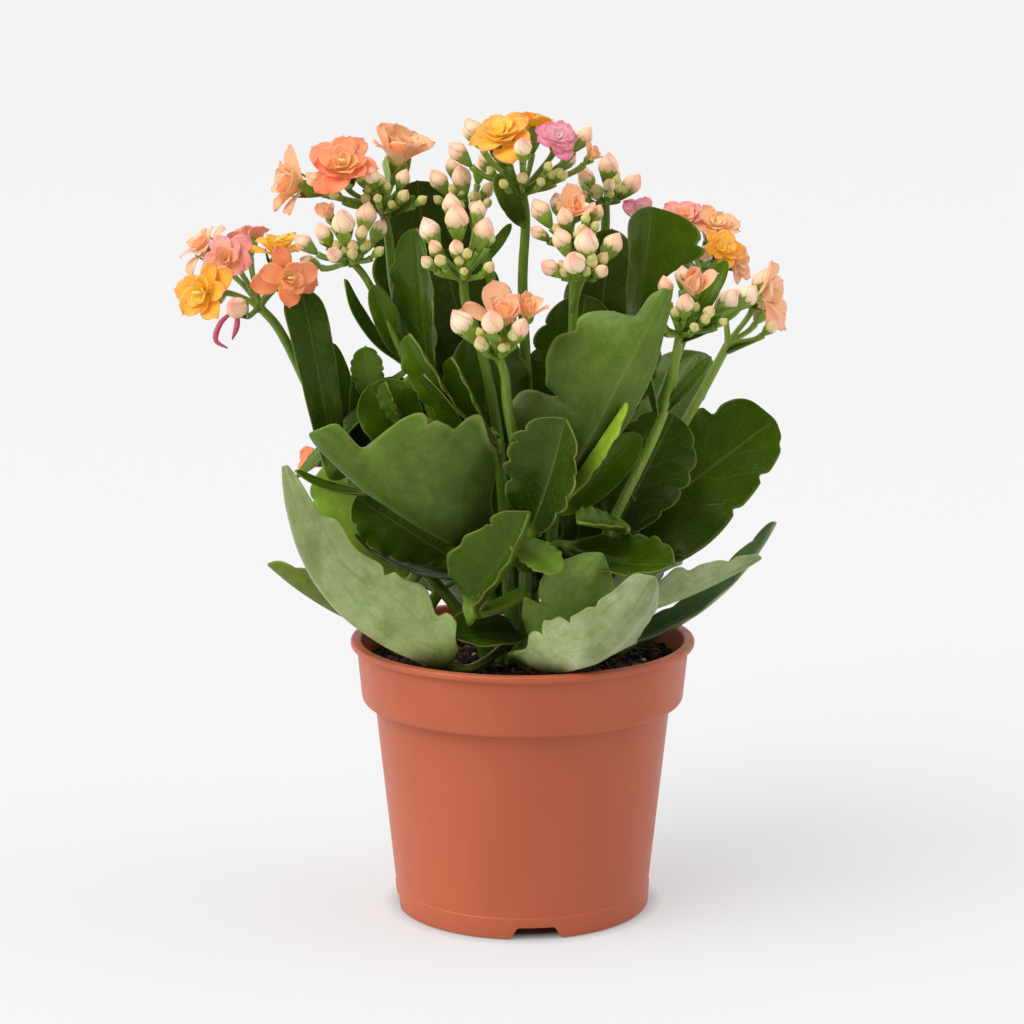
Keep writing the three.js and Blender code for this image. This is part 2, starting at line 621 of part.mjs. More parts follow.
// Leaves, named for where they stand on the plant.
const LEAVES = {
  leaf_right_upper: { base: [27, -2, 39], tip: [88, 6, 84], width: 46, fold: 8, faces: [-5, 12] },
  leaf_centre: { base: [12, -34, 64], tip: [47, -42, 134], width: 46, bow: -4, fold: 24, faces: [170, 20] },
  leaf_front_scoop: { base: [-8, -26, 40], tip: [-70, -46, 87], width: 58, bow: -6, fold: 45, faces: [150, 35] },
  leaf_front_low_left: { base: [-24, -33, 5], tip: [-80, -34, 74], width: 50, bow: -20, fold: 42, faces: [150, 35] },
  leaf_front_low_centre: { base: [-1, -34, 9], tip: [43, -62, 42], width: 46, bow: -17, fold: 40, faces: [190, 40] },
  leaf_right_level: { base: [27, -22, 19], tip: [80, -34, 43], width: 36, bow: -3, fold: 42, faces: [200, 50] },
  leaf_right_narrow: { base: [32, -8, 5], tip: [87, -12, 51], width: 15, bow: -9, fold: 34, faces: [-60, 45] },
  leaf_front_low_inner: { base: [8, -26, 9], tip: [26, -42, 46], width: 36, bow: -4, fold: 20, faces: [175, 30] },
  leaf_upper_right: { base: [34, 4, 85], tip: [44, 6, 158], width: 44, bow: 2, fold: 34, faces: [25, 5] },
  leaf_left_strap: { base: [-65, -10, 70], tip: [-75, -13, 131], width: 17, bow: 2, fold: 14, faces: [15, 10] },
  leaf_left_behind_strap: { base: [-62, 6, 64], tip: [-84, 4, 114], width: 28, bow: 2, faces: [100, 20] },
  leaf_back_upper_left: { base: [-29, 22, 89], tip: [-37, 26, 166], width: 40, fold: 12, faces: [10, 5] },
  leaf_upper_notched: { base: [-31, -2, 90], tip: [-36, -14, 152], width: 24, fold: 28, faces: [-45, 5] },
  leaf_upper_inner: { base: [-16, 10, 91], tip: [-28, 14, 143], width: 36, fold: 14, faces: [15, 5] },
  leaf_young_left: { base: [-16, -22, 81], tip: [-38, -30, 118], width: 22, fold: 30, faces: [-60, 20] },
  leaf_young_right: { base: [-9, -22, 78], tip: [-24, -28, 110], width: 18, fold: 30, faces: [-60, 20] },
  leaf_inner_right: { base: [31, -12, 46], tip: [52, -9, 88], width: 31, fold: 10, faces: [0, 10] },
  leaf_lime: { base: [14, -40, 64], tip: [34, -47, 97], width: 14, fold: 30, faces: [80, 20] },
  leaf_centre_small: { base: [2, -34, 50], tip: [14, -48, 92], width: 34, bow: -2, fold: 34, faces: [-25, 25] },
  leaf_glossy_front: { base: [-18, -34, 25], tip: [1, -54, 61], width: 34, bow: -2, fold: 24, faces: [-20, 35] },
  leaf_dark_left: { base: [-43, 2, 70], tip: [-67, 6, 92], width: 28, fold: 10, faces: [20, 40] },
  leaf_bright_left: { base: [-42, 12, 26], tip: [-68, 16, 68], width: 38, fold: 10, faces: [180, 20] },
  leaf_shiny_left: { base: [-23, -8, 36], tip: [-58, -4, 58], width: 30, fold: 10, faces: [-20, 50] },
  leaf_left_small: { base: [-46, 6, 8], tip: [-89, 0, 34], width: 24, bow: -3, fold: 28, faces: [150, 60] },
  leaf_edge_on: { base: [14, -24, 45], tip: [50, -46, 43], width: 24, bow: -4, fold: 30, faces: [-20, 60] },
  leaf_behind_centre: { base: [24, 6, 91], tip: [31, 12, 150], width: 28, fold: 16, faces: [-20, 5] },
  leaf_back_left: { base: [-18, 18, 42], tip: [-58, 58, 82], width: 48, bow: -6, fold: 28, faces: [40, 50] },
  leaf_back_low_left: { base: [-12, 18, 12], tip: [-48, 66, 38], width: 46, bow: -6, fold: 24, faces: [30, 65] },
  leaf_back_middle: { base: [4, 20, 52], tip: [8, 72, 96], width: 48, bow: -6, fold: 28, faces: [-5, 50] },
  leaf_back_low_right: { base: [16, 16, 14], tip: [58, 58, 34], width: 46, bow: -6, fold: 24, faces: [-45, 65] },
  leaf_back_right: { base: [24, 22, 56], tip: [66, 56, 102], width: 46, bow: -6, fold: 28, faces: [-45, 45] },
};

const stemLines = Object.values(STEMS).flatMap((spec) => [spec.line, ...(spec.branches ?? [])])
  .map((line) => new THREE.CatmullRomCurve3(line.map(onPlant)).getSpacedPoints(40));

function nearestStemPoint(point) {
  const nearest = (best, p) => (p.distanceTo(point) < best.distanceTo(point) ? p : best);
  return stemLines.flat().reduce(nearest);
}

// ---- assembly ----------------------------------------------------------------------------------

const MATERIALS = {
  terracotta_plastic: { color: "#b8654a", roughness: 0.55 },
  peat_soil: { color: "#3a2b22", roughness: 0.95 },
  stem_green: { color: "#7f9a55", roughness: 0.5 },
  leaf_green: { color: "#4d7336", roughness: 0.35 },
  leaf_pale_green: { color: "#8ea57c", roughness: 0.45 },
  petal_orange: { color: "#f59a45", roughness: 0.6 },
  petal_coral: { color: "#ee7d66", roughness: 0.6 },
  petal_pink: { color: "#e786a0", roughness: 0.6 },
  petal_yellow: { color: "#f4c557", roughness: 0.6 },
};

const PALE_LEAVES = ["leaf_front_low_left", "leaf_front_low_centre", "leaf_front_low_inner", "leaf_right_level"];

const PETAL_COLOURS = {
  flower_left_front: "petal_orange",
  flower_left_upper: "petal_pink",
  flower_left_yellow: "petal_yellow",
  flower_left_back: "petal_pink",
  flower_top_orange: "petal_orange",
  flower_top_back: "petal_orange",
  flower_top_pink: "petal_pink",
  flower_right_peach: "petal_orange",
  flower_right_yellow: "petal_yellow",
};

const kalanchoe = new THREE.Group();
const placed = [];

function boxesMeet(a, b) {
  const one = a.boundingBox();
  const two = b.boundingBox();
  return [0, 1, 2].every((k) => one.min[k] <= two.max[k] && two.min[k] <= one.max[k]);
}

// Adds a piece with everything already placed cut out of it, one gap wider than it is.
function place(name, slot, build) {
  const cutters = placed.filter((other) => boxesMeet(build(0), other));
  const cut = cutters.reduce((whole, cutter) => whole.subtract(cutter), build(0));
  const solid = largestBody(cut.simplify(SMOOTHING));
  placed.push(build(FIT_GAP));
  const { vertProperties, triVerts } = solid.getMesh();
  const geometry = new THREE.BufferGeometry();
  geometry.setAttribute("position", new THREE.BufferAttribute(vertProperties, 3));
  geometry.setIndex(new THREE.BufferAttribute(triVerts, 1));
  geometry.computeVertexNormals();
  const mesh = new THREE.Mesh(geometry, new THREE.MeshStandardMaterial({ metalness: 0, ...MATERIALS[slot] }));
  mesh.name = name;
  kalanchoe.add(mesh);
}

// Every flower stem carries the pedicels of its open flowers.
for (const flowerRow of Object.values(FLOWERS)) {
  const head = STEMS[flowerRow.stem].heads[0];
  head.flowers = [...(head.flowers ?? []), flowerRow];
}

place("pot", "terracotta_plastic", pot);
for (const [name, spec] of Object.entries(STEMS)) {
  place(name, "stem_green", (grow) => floweringStem(spec, grow));
}
place("soil", "peat_soil", soil);
for (const [name, row] of Object.entries(FLOWERS)) {
  place(name, PETAL_COLOURS[name] ?? "petal_coral", (grow) => flower(row, grow));
}
for (const [name, row] of Object.entries(LEAVES)) {
  const slot = PALE_LEAVES.includes(name) ? "leaf_pale_green" : "leaf_green";
  place(name, slot, (grow) => leaf(row, grow));
}

// The origin is under the middle of the whole plant, on the ground.
const bounds = new THREE.Box3().setFromObject(kalanchoe);
const middle = bounds.getCenter(new THREE.Vector3());
kalanchoe.position.set(-middle.x, -middle.y, 0);

export default kalanchoe;
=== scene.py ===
import math

import bpy
import numpy as np
from bpy.props import FloatProperty, FloatVectorProperty, IntProperty, PointerProperty
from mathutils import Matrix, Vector


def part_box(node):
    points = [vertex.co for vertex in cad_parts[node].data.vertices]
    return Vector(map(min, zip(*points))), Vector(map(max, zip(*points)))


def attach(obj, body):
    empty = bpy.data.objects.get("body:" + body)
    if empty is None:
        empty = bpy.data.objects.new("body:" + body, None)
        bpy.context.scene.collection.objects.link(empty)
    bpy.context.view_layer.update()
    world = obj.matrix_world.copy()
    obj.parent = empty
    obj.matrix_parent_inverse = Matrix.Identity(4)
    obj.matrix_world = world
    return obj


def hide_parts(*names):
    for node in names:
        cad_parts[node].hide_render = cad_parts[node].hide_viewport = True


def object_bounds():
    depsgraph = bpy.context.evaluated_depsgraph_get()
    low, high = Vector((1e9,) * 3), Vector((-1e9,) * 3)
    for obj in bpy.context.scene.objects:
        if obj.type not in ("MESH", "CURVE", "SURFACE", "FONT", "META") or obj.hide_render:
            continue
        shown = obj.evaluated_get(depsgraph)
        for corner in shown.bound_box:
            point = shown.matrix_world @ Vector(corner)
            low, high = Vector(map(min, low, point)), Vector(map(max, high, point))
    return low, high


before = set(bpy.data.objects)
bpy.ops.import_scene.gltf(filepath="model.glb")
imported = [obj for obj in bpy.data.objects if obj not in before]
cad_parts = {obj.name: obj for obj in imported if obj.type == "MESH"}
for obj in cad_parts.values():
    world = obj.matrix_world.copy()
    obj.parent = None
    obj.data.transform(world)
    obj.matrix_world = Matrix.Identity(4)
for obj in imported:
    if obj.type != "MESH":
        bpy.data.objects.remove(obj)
cad_low, cad_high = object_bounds()

bl_info = {
    "name": "Potted kalanchoe",
    "version": (1, 0, 0),
    "blender": (4, 5, 0),
    "location": "3D View > Sidebar > Kalanchoe",
    "description": "A flowering kalanchoe in a round nursery pot, one operator for each group of like pieces",
    "category": "Add Mesh",
}

MM = 0.001
POT_LOW, POT_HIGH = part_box("pot")
SOIL_LEVEL = POT_HIGH.z - 8 * MM
PLANT_ORIGIN = np.array([(POT_LOW.x + POT_HIGH.x) / 2, (POT_LOW.y + POT_HIGH.y) / 2, SOIL_LEVEL])
UP = np.array([0.0, 0.0, 1.0])
GOLDEN_ANGLE = math.pi * (3 - math.sqrt(5))


# ---- numbers and vectors -----------------------------------------------------------------------

def linear(colour):
    """sRGB hex to the linear values that Blender works in."""
    channels = np.array([int(colour[i:i + 2], 16) for i in (1, 3, 5)]) / 255
    return np.where(channels <= 0.04045, channels / 12.92, ((channels + 0.055) / 1.055) ** 2.4)


def on_plant(point):
    """A place given in mm from the middle of the soil, in metres in the frame."""
    return PLANT_ORIGIN + np.asarray(point, float) * MM


def unit(vectors):
    """The same directions, each one long."""
    return vectors / np.maximum(np.linalg.norm(vectors, axis=-1, keepdims=True), 1e-12)


def facing(turn, tilt):
    """Direction from two angles in degrees: turn 0 faces the front, 90 the right; tilt 90 faces up."""
    a, b = math.radians(turn), math.radians(tilt)
    return np.array([math.sin(a) * math.cos(b), -math.cos(a) * math.cos(b), math.sin(b)])


def square_to(direction, reference=None):
    """Two unit vectors square to a direction and to each other; the first lies nearest the reference."""
    if reference is None:
        reference = UP if abs(direction[2]) < 0.9 else np.array([1.0, 0.0, 0.0])
    first = unit(reference - direction * (reference @ direction))
    return first, np.cross(direction, first)


def smoothstep(low, high, x):
    """0 below low, 1 above high, and an S curve between them."""
    t = np.clip((x - low) / (high - low), 0, 1)
    return t * t * (3 - 2 * t)


def smooth_path(points, count):
    """Catmull-Rom curve: cubic pieces whose slope at each point is half the step between its neighbours."""
    p = np.asarray(points, float)
    p = np.vstack([2 * p[0] - p[1], p, 2 * p[-1] - p[-2]])
    s = np.linspace(0, len(p) - 3 - 1e-9, count)
    k = s.astype(int)
    t = (s - k)[:, None]
    a, b, c, d = p[k], p[k + 1], p[k + 2], p[k + 3]
    square = (2 * a - 5 * b + 4 * c - d) * t ** 2
    cube = (3 * b - a - 3 * c + d) * t ** 3
    return 0.5 * (2 * b + (c - a) * t + square + cube)


# ---- meshes ------------------------------------------------------------------------------------

def skin_faces(rings, sides, count=1):
    """Faces of count closed tubes of rings x sides points, each followed by its two end points."""
    ring, side = np.meshgrid(np.arange(rings - 1), np.arange(sides), indexing="ij")
    after = (side + 1) % sides
    quads = np.stack([ring * sides + side, ring * sides + after, (ring + 1) * sides + after,
                      (ring + 1) * sides + side], -1).reshape(-1, 4)
    s = np.arange(sides)
    n = (s + 1) % sides
    last = (rings - 1) * sides
    start = np.stack([np.full(sides, rings * sides), n, s], -1)
    end = np.stack([np.full(sides, rings * sides + 1), last + s, last + n], -1)
    step = (np.arange(count) * (rings * sides + 2))[:, None, None]
    return (quads + step).reshape(-1, 4), (np.vstack([start, end]) + step).reshape(-1, 3)


class Surface:
    """Collects closed tubes of points, with their values, into one mesh."""

    def __init__(self):
        self.points, self.quads, self.tris, self.values, self.size = [], [], [], {}, 0

    def add(self, grid, start, end, **values):
        """Adds closed tubes: grid is (tubes, rings, sides, 3), start and end are (tubes, 3).
        Each value is (tubes, rings, sides, 3); an end takes its ring's mean.
        Faces are turned so that the volume they enclose is positive."""
        count, rings, sides = grid.shape[:3]
        quads, tris = skin_faces(rings, sides, count)
        block = np.concatenate([grid.reshape(count, -1, 3), start[:, None], end[:, None]], 1)
        one_quads, one_tris = skin_faces(rings, sides)
        one = np.concatenate([one_quads[:, :3], one_quads[:, [0, 2, 3]], one_tris])
        a, b, c = (block[0] - block[0].mean(0))[one.T]
        if np.einsum("ij,ij", a, np.cross(b, c)) < 0:
            quads, tris = quads[:, ::-1], tris[:, ::-1]
        self.quads.append(quads + self.size)
        self.tris.append(tris + self.size)
        self.points.append(block.reshape(-1, 3))
        for name, value in values.items():
            value = np.broadcast_to(value, grid.shape[:3] + np.shape(value)[3:])
            tail = value.shape[3:]
            ends = [value[:, 0].mean(1), value[:, -1].mean(1)]
            joined = [value.reshape((count, -1) + tail), ends[0][:, None], ends[1][:, None]]
            self.values.setdefault(name, []).append(np.concatenate(joined, 1).reshape((-1,) + tail))
        self.size += block.shape[0] * block.shape[1]

    def build(self, name, material, slot, replaces=()):
        """Makes the mesh object, turned outwards, riding on the root body."""
        points = np.vstack(self.points)
        quads, tris = np.vstack(self.quads), np.vstack(self.tris)
        mesh = bpy.data.meshes.new(name)
        mesh.vertices.add(len(points))
        mesh.vertices.foreach_set("co", points.ravel())
        corners = np.concatenate([quads.ravel(), tris.ravel()])
        sizes = np.concatenate([np.full(len(quads), 4), np.full(len(tris), 3)])
        mesh.loops.add(len(corners))
        mesh.loops.foreach_set("vertex_index", corners)
        mesh.polygons.add(len(sizes))
        mesh.polygons.foreach_set("loop_start", np.concatenate([[0], np.cumsum(sizes)[:-1]]))
        mesh.polygons.foreach_set("use_smooth", np.ones(len(sizes), bool))
        mesh.update(calc_edges=True)
        for key, blocks in self.values.items():
            data = np.concatenate(blocks)
            if key.endswith("colour"):
                rgba = np.concatenate([data, np.ones((len(data), 1))], 1)
                mesh.color_attributes.new(key, "FLOAT_COLOR", "POINT").data.foreach_set("color", rgba.ravel())
            else:
                mesh.attributes.new(key, "FLOAT_VECTOR", "POINT").data.foreach_set("vector", data.ravel())
        if mesh.validate():
            raise RuntimeError(f"{name} has faces that Blender had to mend")
        piece = bpy.data.objects.new(name, mesh)
        bpy.context.scene.collection.objects.link(piece)
        mesh.materials.append(material)
        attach(piece, "root")
        if replaces:
            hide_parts(*replaces)


def tube(surface, path, radii, sides, ridge=None, **values):
    """Round tube: circles of the given radii, square to a path, in one untwisted set of directions."""
    path = np.asarray(path, float)
    tangent = unit(np.gradient(path, axis=0))
    first, _ = square_to(unit(path[-1] - path[0]))
    across = unit(first - tangent * (tangent @ first)[:, None])
    other = np.cross(tangent, across)
    angle = np.linspace(0, 2 * np.pi, sides, endpoint=False)
    radii = np.broadcast_to(radii, len(path))[:, None]
    if ridge is not None:
        radii = radii * ridge(angle[None, :], np.linspace(0, 1, len(path))[:, None])
    grid = (path[:, None] + across[:, None] * (radii * np.cos(angle))[..., None]
            + other[:, None] * (radii * np.sin(angle))[..., None])
    surface.add(grid[None], path[:1], path[-1:], **{k: np.asarray(v)[None] for k, v in values.items()})


# ---- materials ---------------------------------------------------------------------------------

def add_node(tree, kind, inputs=(), output=0, **settings):
    """Adds a node with its settings and links, and returns one of its outputs. Inputs are a list for the
    first sockets in order, or a dict by name or number; each is a plain value or another node's output."""
    made = tree.nodes.new(kind)
    for key, value in settings.items():
        setattr(made, key, value)
    for key, value in (inputs.items() if isinstance(inputs, dict) else enumerate(inputs)):
        if isinstance(value, bpy.types.NodeSocket):
            tree.links.new(value, made.inputs[key])
        else:
            made.inputs[key].default_value = value
    return made.outputs[output]


def rgba(colour):
    """A hex colour as the four linear numbers a socket takes."""
    return (*linear(colour), 1.0)


def new_material(name, **constants):
    """A Principled material with constants on the shader's own sockets, and its Object coordinates."""
    material = bpy.data.materials.new(name)
    material.use_nodes = True
    tree = material.node_tree
    shader = tree.nodes["Principled BSDF"]
    for key, value in constants.items():
        shader.inputs[key.replace("_", " ")].default_value = value
    return material, tree, shader, add_node(tree, "ShaderNodeTexCoord", output="Object")


def leaf_material():
    """Living succulent leaf: waxy cuticle over soft flesh. The blade attribute holds the place across
    (-1 to 1), the place along (0 to 1) and the face (1 upper, -1 under)."""
    material, tree, shader, place = new_material("succulent_leaf_waxy", IOR=1.45, Specular_IOR_Level=0.32,
                                                 Specular_Tint=(0.85, 1.0, 0.4, 1.0), Coat_Weight=0.1,
                                                 Coat_Roughness=0.16)
    blade = add_node(tree, "ShaderNodeAttribute", output="Vector", attribute_name="blade")
    base = add_node(tree, "ShaderNodeAttribute", output="Color", attribute_name="leaf_colour")
    across = add_node(tree, "ShaderNodeSeparateXYZ", [blade], 0)
    along = add_node(tree, "ShaderNodeSeparateXYZ", [blade], 1)
    face = add_node(tree, "ShaderNodeSeparateXYZ", [blade], 2)
    away = add_node(tree, "ShaderNodeMath", [across], operation="ABSOLUTE")
    under = add_node(tree, "ShaderNodeMapRange", [face, 0.3, -0.3, 0.0, 1.0])

    # broad clouds about 14 mm wide: patches where the green is darker and yellower
    clouds = add_node(tree, "ShaderNodeTexNoise", {"Vector": place, "Scale": 70.0, "Detail": 4.0,
                                                   "Roughness": 0.6})
    patch = add_node(tree, "ShaderNodeMapRange", [clouds, 0.38, 0.68, 0.0, 0.6])
    darker = add_node(tree, "ShaderNodeMix", {0: 1.0, 6: base, 7: rgba("#b0b488")}, 2, data_type="RGBA",
                      blend_type="MULTIPLY")
    colour = add_node(tree, "ShaderNodeMix", {0: patch, 6: base, 7: darker}, 2, data_type="RGBA")
    # wax bloom 5 mm wide, only on the under face
    bloom = add_node(tree, "ShaderNodeTexNoise", {"Vector": place, "Scale": 200.0, "Detail": 6.0,
                                                  "Roughness": 0.7})
    bloom = add_node(tree, "ShaderNodeMapRange", [bloom, 0.44, 0.7, 0.0, 0.75])
    bloom = add_node(tree, "ShaderNodeMath", [bloom, under], operation="MULTIPLY")
    waxy = add_node(tree, "ShaderNodeMix", {0: 1.0, 6: colour, 7: (1.4, 1.3, 1.8, 1.0)}, 2, data_type="RGBA",
                    blend_type="MULTIPLY")
    colour = add_node(tree, "ShaderNodeMix", {0: bloom, 6: colour, 7: waxy}, 2, data_type="RGBA")
    # darker green flames that run lengthwise, where the wax is rubbed off the under face
    drawn_out = add_node(tree, "ShaderNodeMapping", {"Vector": blade, "Scale": (3.0, 1.6, 0.0)})
    flames = add_node(tree, "ShaderNodeTexNoise", {"Vector": drawn_out, "Scale": 2.2, "Detail": 5.0,
                                                   "Roughness": 0.65, "Distortion": 0.6})
    flames = add_node(tree, "ShaderNodeMapRange", [flames, 0.5, 0.68, 0.0, 0.62])
    flames = add_node(tree, "ShaderNodeMath", [flames, under], operation="MULTIPLY")
    bare = add_node(tree, "ShaderNodeMix", {0: 1.0, 6: colour, 7: (0.55, 0.7, 0.3, 1.0)}, 2, data_type="RGBA",
                    blend_type="MULTIPLY")
    colour = add_node(tree, "ShaderNodeMix", {0: flames, 6: colour, 7: bare}, 2, data_type="RGBA")
    # pale freckles half a millimetre wide
    freckles = add_node(tree, "ShaderNodeTexNoise", {"Vector": place, "Scale": 1500.0, "Detail": 2.0})
    freckles = add_node(tree, "ShaderNodeMapRange", [freckles, 0.6, 0.7, 0.0, 0.1])
    colour = add_node(tree, "ShaderNodeMix", {0: freckles, 6: colour, 7: rgba("#b4bf80")}, 2,
                      data_type="RGBA")

    # midrib, and faint side veins that leave it slanting towards the tip
    midrib = add_node(tree, "ShaderNodeMapRange", [away, 0.045, 0.008, 0.0, 0.22])
    slant = add_node(tree, "ShaderNodeMath", [away, -0.32, along], operation="MULTIPLY_ADD")
    waver = add_node(tree, "ShaderNodeTexNoise", {"Vector": place, "Scale": 110.0, "Detail": 2.0})
    slant = add_node(tree, "ShaderNodeMath", [slant, 34.0], operation="MULTIPLY")
    slant = add_node(tree, "ShaderNodeMath", [waver, 3.0, slant], operation="MULTIPLY_ADD")
    veins = add_node(tree, "ShaderNodeMath", [slant], operation="SINE")
    veins = add_node(tree, "ShaderNodeMapRange", [veins, 0.93, 1.0, 0.0, 1.0])
    fade = add_node(tree, "ShaderNodeMapRange", [away, 0.8, 0.1, 0.0, 0.05])
    faint = add_node(tree, "ShaderNodeMath", [veins, fade], operation="MULTIPLY")
    drawn = add_node(tree, "ShaderNodeMath", [midrib, faint], operation="MAXIMUM")
    colour = add_node(tree, "ShaderNodeMix", {0: drawn, 6: colour, 7: rgba("#8a9e50")}, 2, data_type="RGBA")

    # margin: a thin pale line, a painted highlight where the thick edge glimmers, then a broken red-brown
    # edge
    rim = add_node(tree, "ShaderNodeMapRange", [away, 0.93, 0.985, 0.0, 0.4])
    colour = add_node(tree, "ShaderNodeMix", {0: rim, 6: colour, 7: rgba("#8fa04c")}, 2, data_type="RGBA")
    rusty = add_node(tree, "ShaderNodeTexNoise", {"Vector": place, "Scale": 140.0, "Detail": 3.0})
    rusty = add_node(tree, "ShaderNodeMapRange", [rusty, 0.42, 0.62, 0.1, 0.8])
    edge = add_node(tree, "ShaderNodeMapRange", [away, 0.98, 0.999, 0.0, 1.0])
    edge = add_node(tree, "ShaderNodeMath", [edge, rusty], operation="MULTIPLY")
    colour = add_node(tree, "ShaderNodeMix", {0: edge, 6: colour, 7: rgba("#74503a")}, 2, data_type="RGBA")
    tree.links.new(colour, shader.inputs["Base Color"])

    # the cuticle shines, more on the upper face, and its wax is worn in patches
    worn = add_node(tree, "ShaderNodeMapRange", [clouds, 0.3, 0.75, 0.17, 0.34])
    gloss = add_node(tree, "ShaderNodeMath", [under, 0.2, worn], operation="MULTIPLY_ADD")
    tree.links.new(gloss, shader.inputs["Roughness"])
    skin = add_node(tree, "ShaderNodeTexNoise", {"Vector": place, "Scale": 300.0, "Detail": 4.0,
                                                 "Roughness": 0.6})
    relief = add_node(tree, "ShaderNodeMath", [veins, -0.3, skin], operation="MULTIPLY_ADD")
    tree.links.new(add_node(tree, "ShaderNodeBump", {"Height": relief, "Distance": 0.25 * MM,
                                                     "Strength": 0.6}),
                   shader.inputs["Normal"])
    return material


def stem_material():
    """Succulent stem and bud tube: smooth light green skin with lengthwise streaks and pale freckles."""
    material, tree, shader, place = new_material("succulent_stem_skin", IOR=1.45, Subsurface_Weight=0.12,
                                                 Subsurface_Scale=0.0015)
    base = add_node(tree, "ShaderNodeAttribute", output="Color", attribute_name="stem_colour")
    drawn = add_node(tree, "ShaderNodeMapping", {"Vector": place, "Scale": (1.0, 1.0, 0.18)})
    streaks = add_node(tree, "ShaderNodeTexNoise", {"Vector": drawn, "Scale": 700.0, "Detail": 3.0,
                                                    "Roughness": 0.6})
    dark = add_node(tree, "ShaderNodeMix", {0: 1.0, 6: base, 7: rgba("#bfc590")}, 2, data_type="RGBA",
                    blend_type="MULTIPLY")
    share = add_node(tree, "ShaderNodeMapRange", [streaks, 0.4, 0.7, 0.0, 0.5])
    colour = add_node(tree, "ShaderNodeMix", {0: share, 6: base, 7: dark}, 2, data_type="RGBA")
    freckles = add_node(tree, "ShaderNodeTexNoise", {"Vector": place, "Scale": 1600.0, "Detail": 2.0})
    freckles = add_node(tree, "ShaderNodeMapRange", [freckles, 0.62, 0.74, 0.0, 0.25])
    colour = add_node(tree, "ShaderNodeMix", {0: freckles, 6: colour, 7: rgba("#c0d08c")}, 2,
                      data_type="RGBA")
    tree.links.new(colour, shader.inputs["Base Color"])
    tree.links.new(add_node(tree, "ShaderNodeMapRange", [streaks, 0.3, 0.7, 0.28, 0.46]),
                   shader.inputs["Roughness"])
    tree.links.new(add_node(tree, "ShaderNodeBump", {"Height": streaks, "Distance": 0.12 * MM,
                                                     "Strength": 0.5}),
                   shader.inputs["Normal"])
    return material


def petal_material(name, roughness):
    """Thin velvety petal: light passes a little way through, fine lines run from base to tip.
    The petal attribute holds the place across (-1 to 1) and along (0 to 1)."""
    material, tree, shader, place = new_material(name, IOR=1.4, Roughness=roughness, Subsurface_Weight=0.35,
                                                 Subsurface_Scale=0.0015, Subsurface_Radius=(1.0, 0.6, 0.45),
                                                 Emission_Strength=0.07)
    petal = add_node(tree, "ShaderNodeAttribute", output="Vector", attribute_name="petal")
    across = add_node(tree, "ShaderNodeSeparateXYZ", [petal], 0)
    base = add_node(tree, "ShaderNodeAttribute", output="Color", attribute_name="petal_colour")
    waver = add_node(tree, "ShaderNodeTexNoise", {"Vector": place, "Scale": 400.0, "Detail": 2.0})
    lines = add_node(tree, "ShaderNodeMath", [across, 24.0], operation="MULTIPLY")
    lines = add_node(tree, "ShaderNodeMath", [waver, 5.0, lines], operation="MULTIPLY_ADD")
    lines = add_node(tree, "ShaderNodeMath", [lines], operation="SINE")
    share = add_node(tree, "ShaderNodeMapRange", [lines, 0.2, 1.0, 0.0, 0.2])
    tinted = add_node(tree, "ShaderNodeMix", {0: 1.0, 6: base, 7: rgba("#f0b8a8")}, 2, data_type="RGBA",
                      blend_type="MULTIPLY")
    colour = add_node(tree, "ShaderNodeMix", {0: share, 6: base, 7: tinted}, 2, data_type="RGBA")
    tree.links.new(colour, shader.inputs["Base Color"])
    # painted light: a faint glow emitted in the petal's own colour, standing in for the light that comes
    # through from behind
    tree.links.new(colour, shader.inputs["Emission Color"])
    tree.links.new(add_node(tree, "ShaderNodeBump", {"Height": lines, "Distance": 0.05 * MM,
                                                     "Strength": 0.4}),
                   shader.inputs["Normal"])
    return material


def pot_material(plastic):
    """Injection-moulded polypropylene in terracotta colour: even satin, faint flow marks, light scuffs."""
    material, tree, shader, place = new_material("moulded_polypropylene_terracotta", IOR=1.49,
                                                 Specular_IOR_Level=0.35, Subsurface_Weight=0.03,
                                                 Subsurface_Scale=0.001)
    drawn = add_node(tree, "ShaderNodeMapping", {"Vector": place, "Scale": (1.0, 1.0, 0.35)})
    flow = add_node(tree, "ShaderNodeTexNoise", {"Vector": drawn, "Scale": 33.0, "Detail": 4.0,
                                                 "Roughness": 0.55})
    share = add_node(tree, "ShaderNodeMapRange", [flow, 0.35, 0.7, 0.0, 1.0])
    deeper = np.array(plastic) * (0.918, 0.876, 0.79)
    colour = add_node(tree, "ShaderNodeMix", {0: share, 6: (*plastic, 1.0), 7: (*deeper, 1.0)}, 2,
                      data_type="RGBA")
    specks = add_node(tree, "ShaderNodeTexNoise", {"Vector": place, "Scale": 1100.0, "Detail": 2.0})
    specks = add_node(tree, "ShaderNodeMapRange", [specks, 0.7, 0.78, 0.0, 0.3])
    colour = add_node(tree, "ShaderNodeMix", {0: specks, 6: colour, 7: rgba("#a0523a")}, 2, data_type="RGBA")
    tree.links.new(colour, shader.inputs["Base Color"])
    scuffs = add_node(tree, "ShaderNodeTexNoise", {"Vector": place, "Scale": 170.0, "Detail": 5.0,
                                                   "Roughness": 0.65})
    tree.links.new(add_node(tree, "ShaderNodeMapRange", [scuffs, 0.35, 0.75, 0.38, 0.52]),
                   shader.inputs["Roughness"])
    grain = add_node(tree, "ShaderNodeTexNoise", {"Vector": place, "Scale": 2000.0, "Detail": 2.0})
    relief = add_node(tree, "ShaderNodeMath", [grain, 0.5, flow], operation="MULTIPLY_ADD")
    tree.links.new(add_node(tree, "ShaderNodeBump", {"Height": relief, "Distance": 0.05 * MM,
                                                     "Strength": 0.35}),
                   shader.inputs["Normal"])
    return material


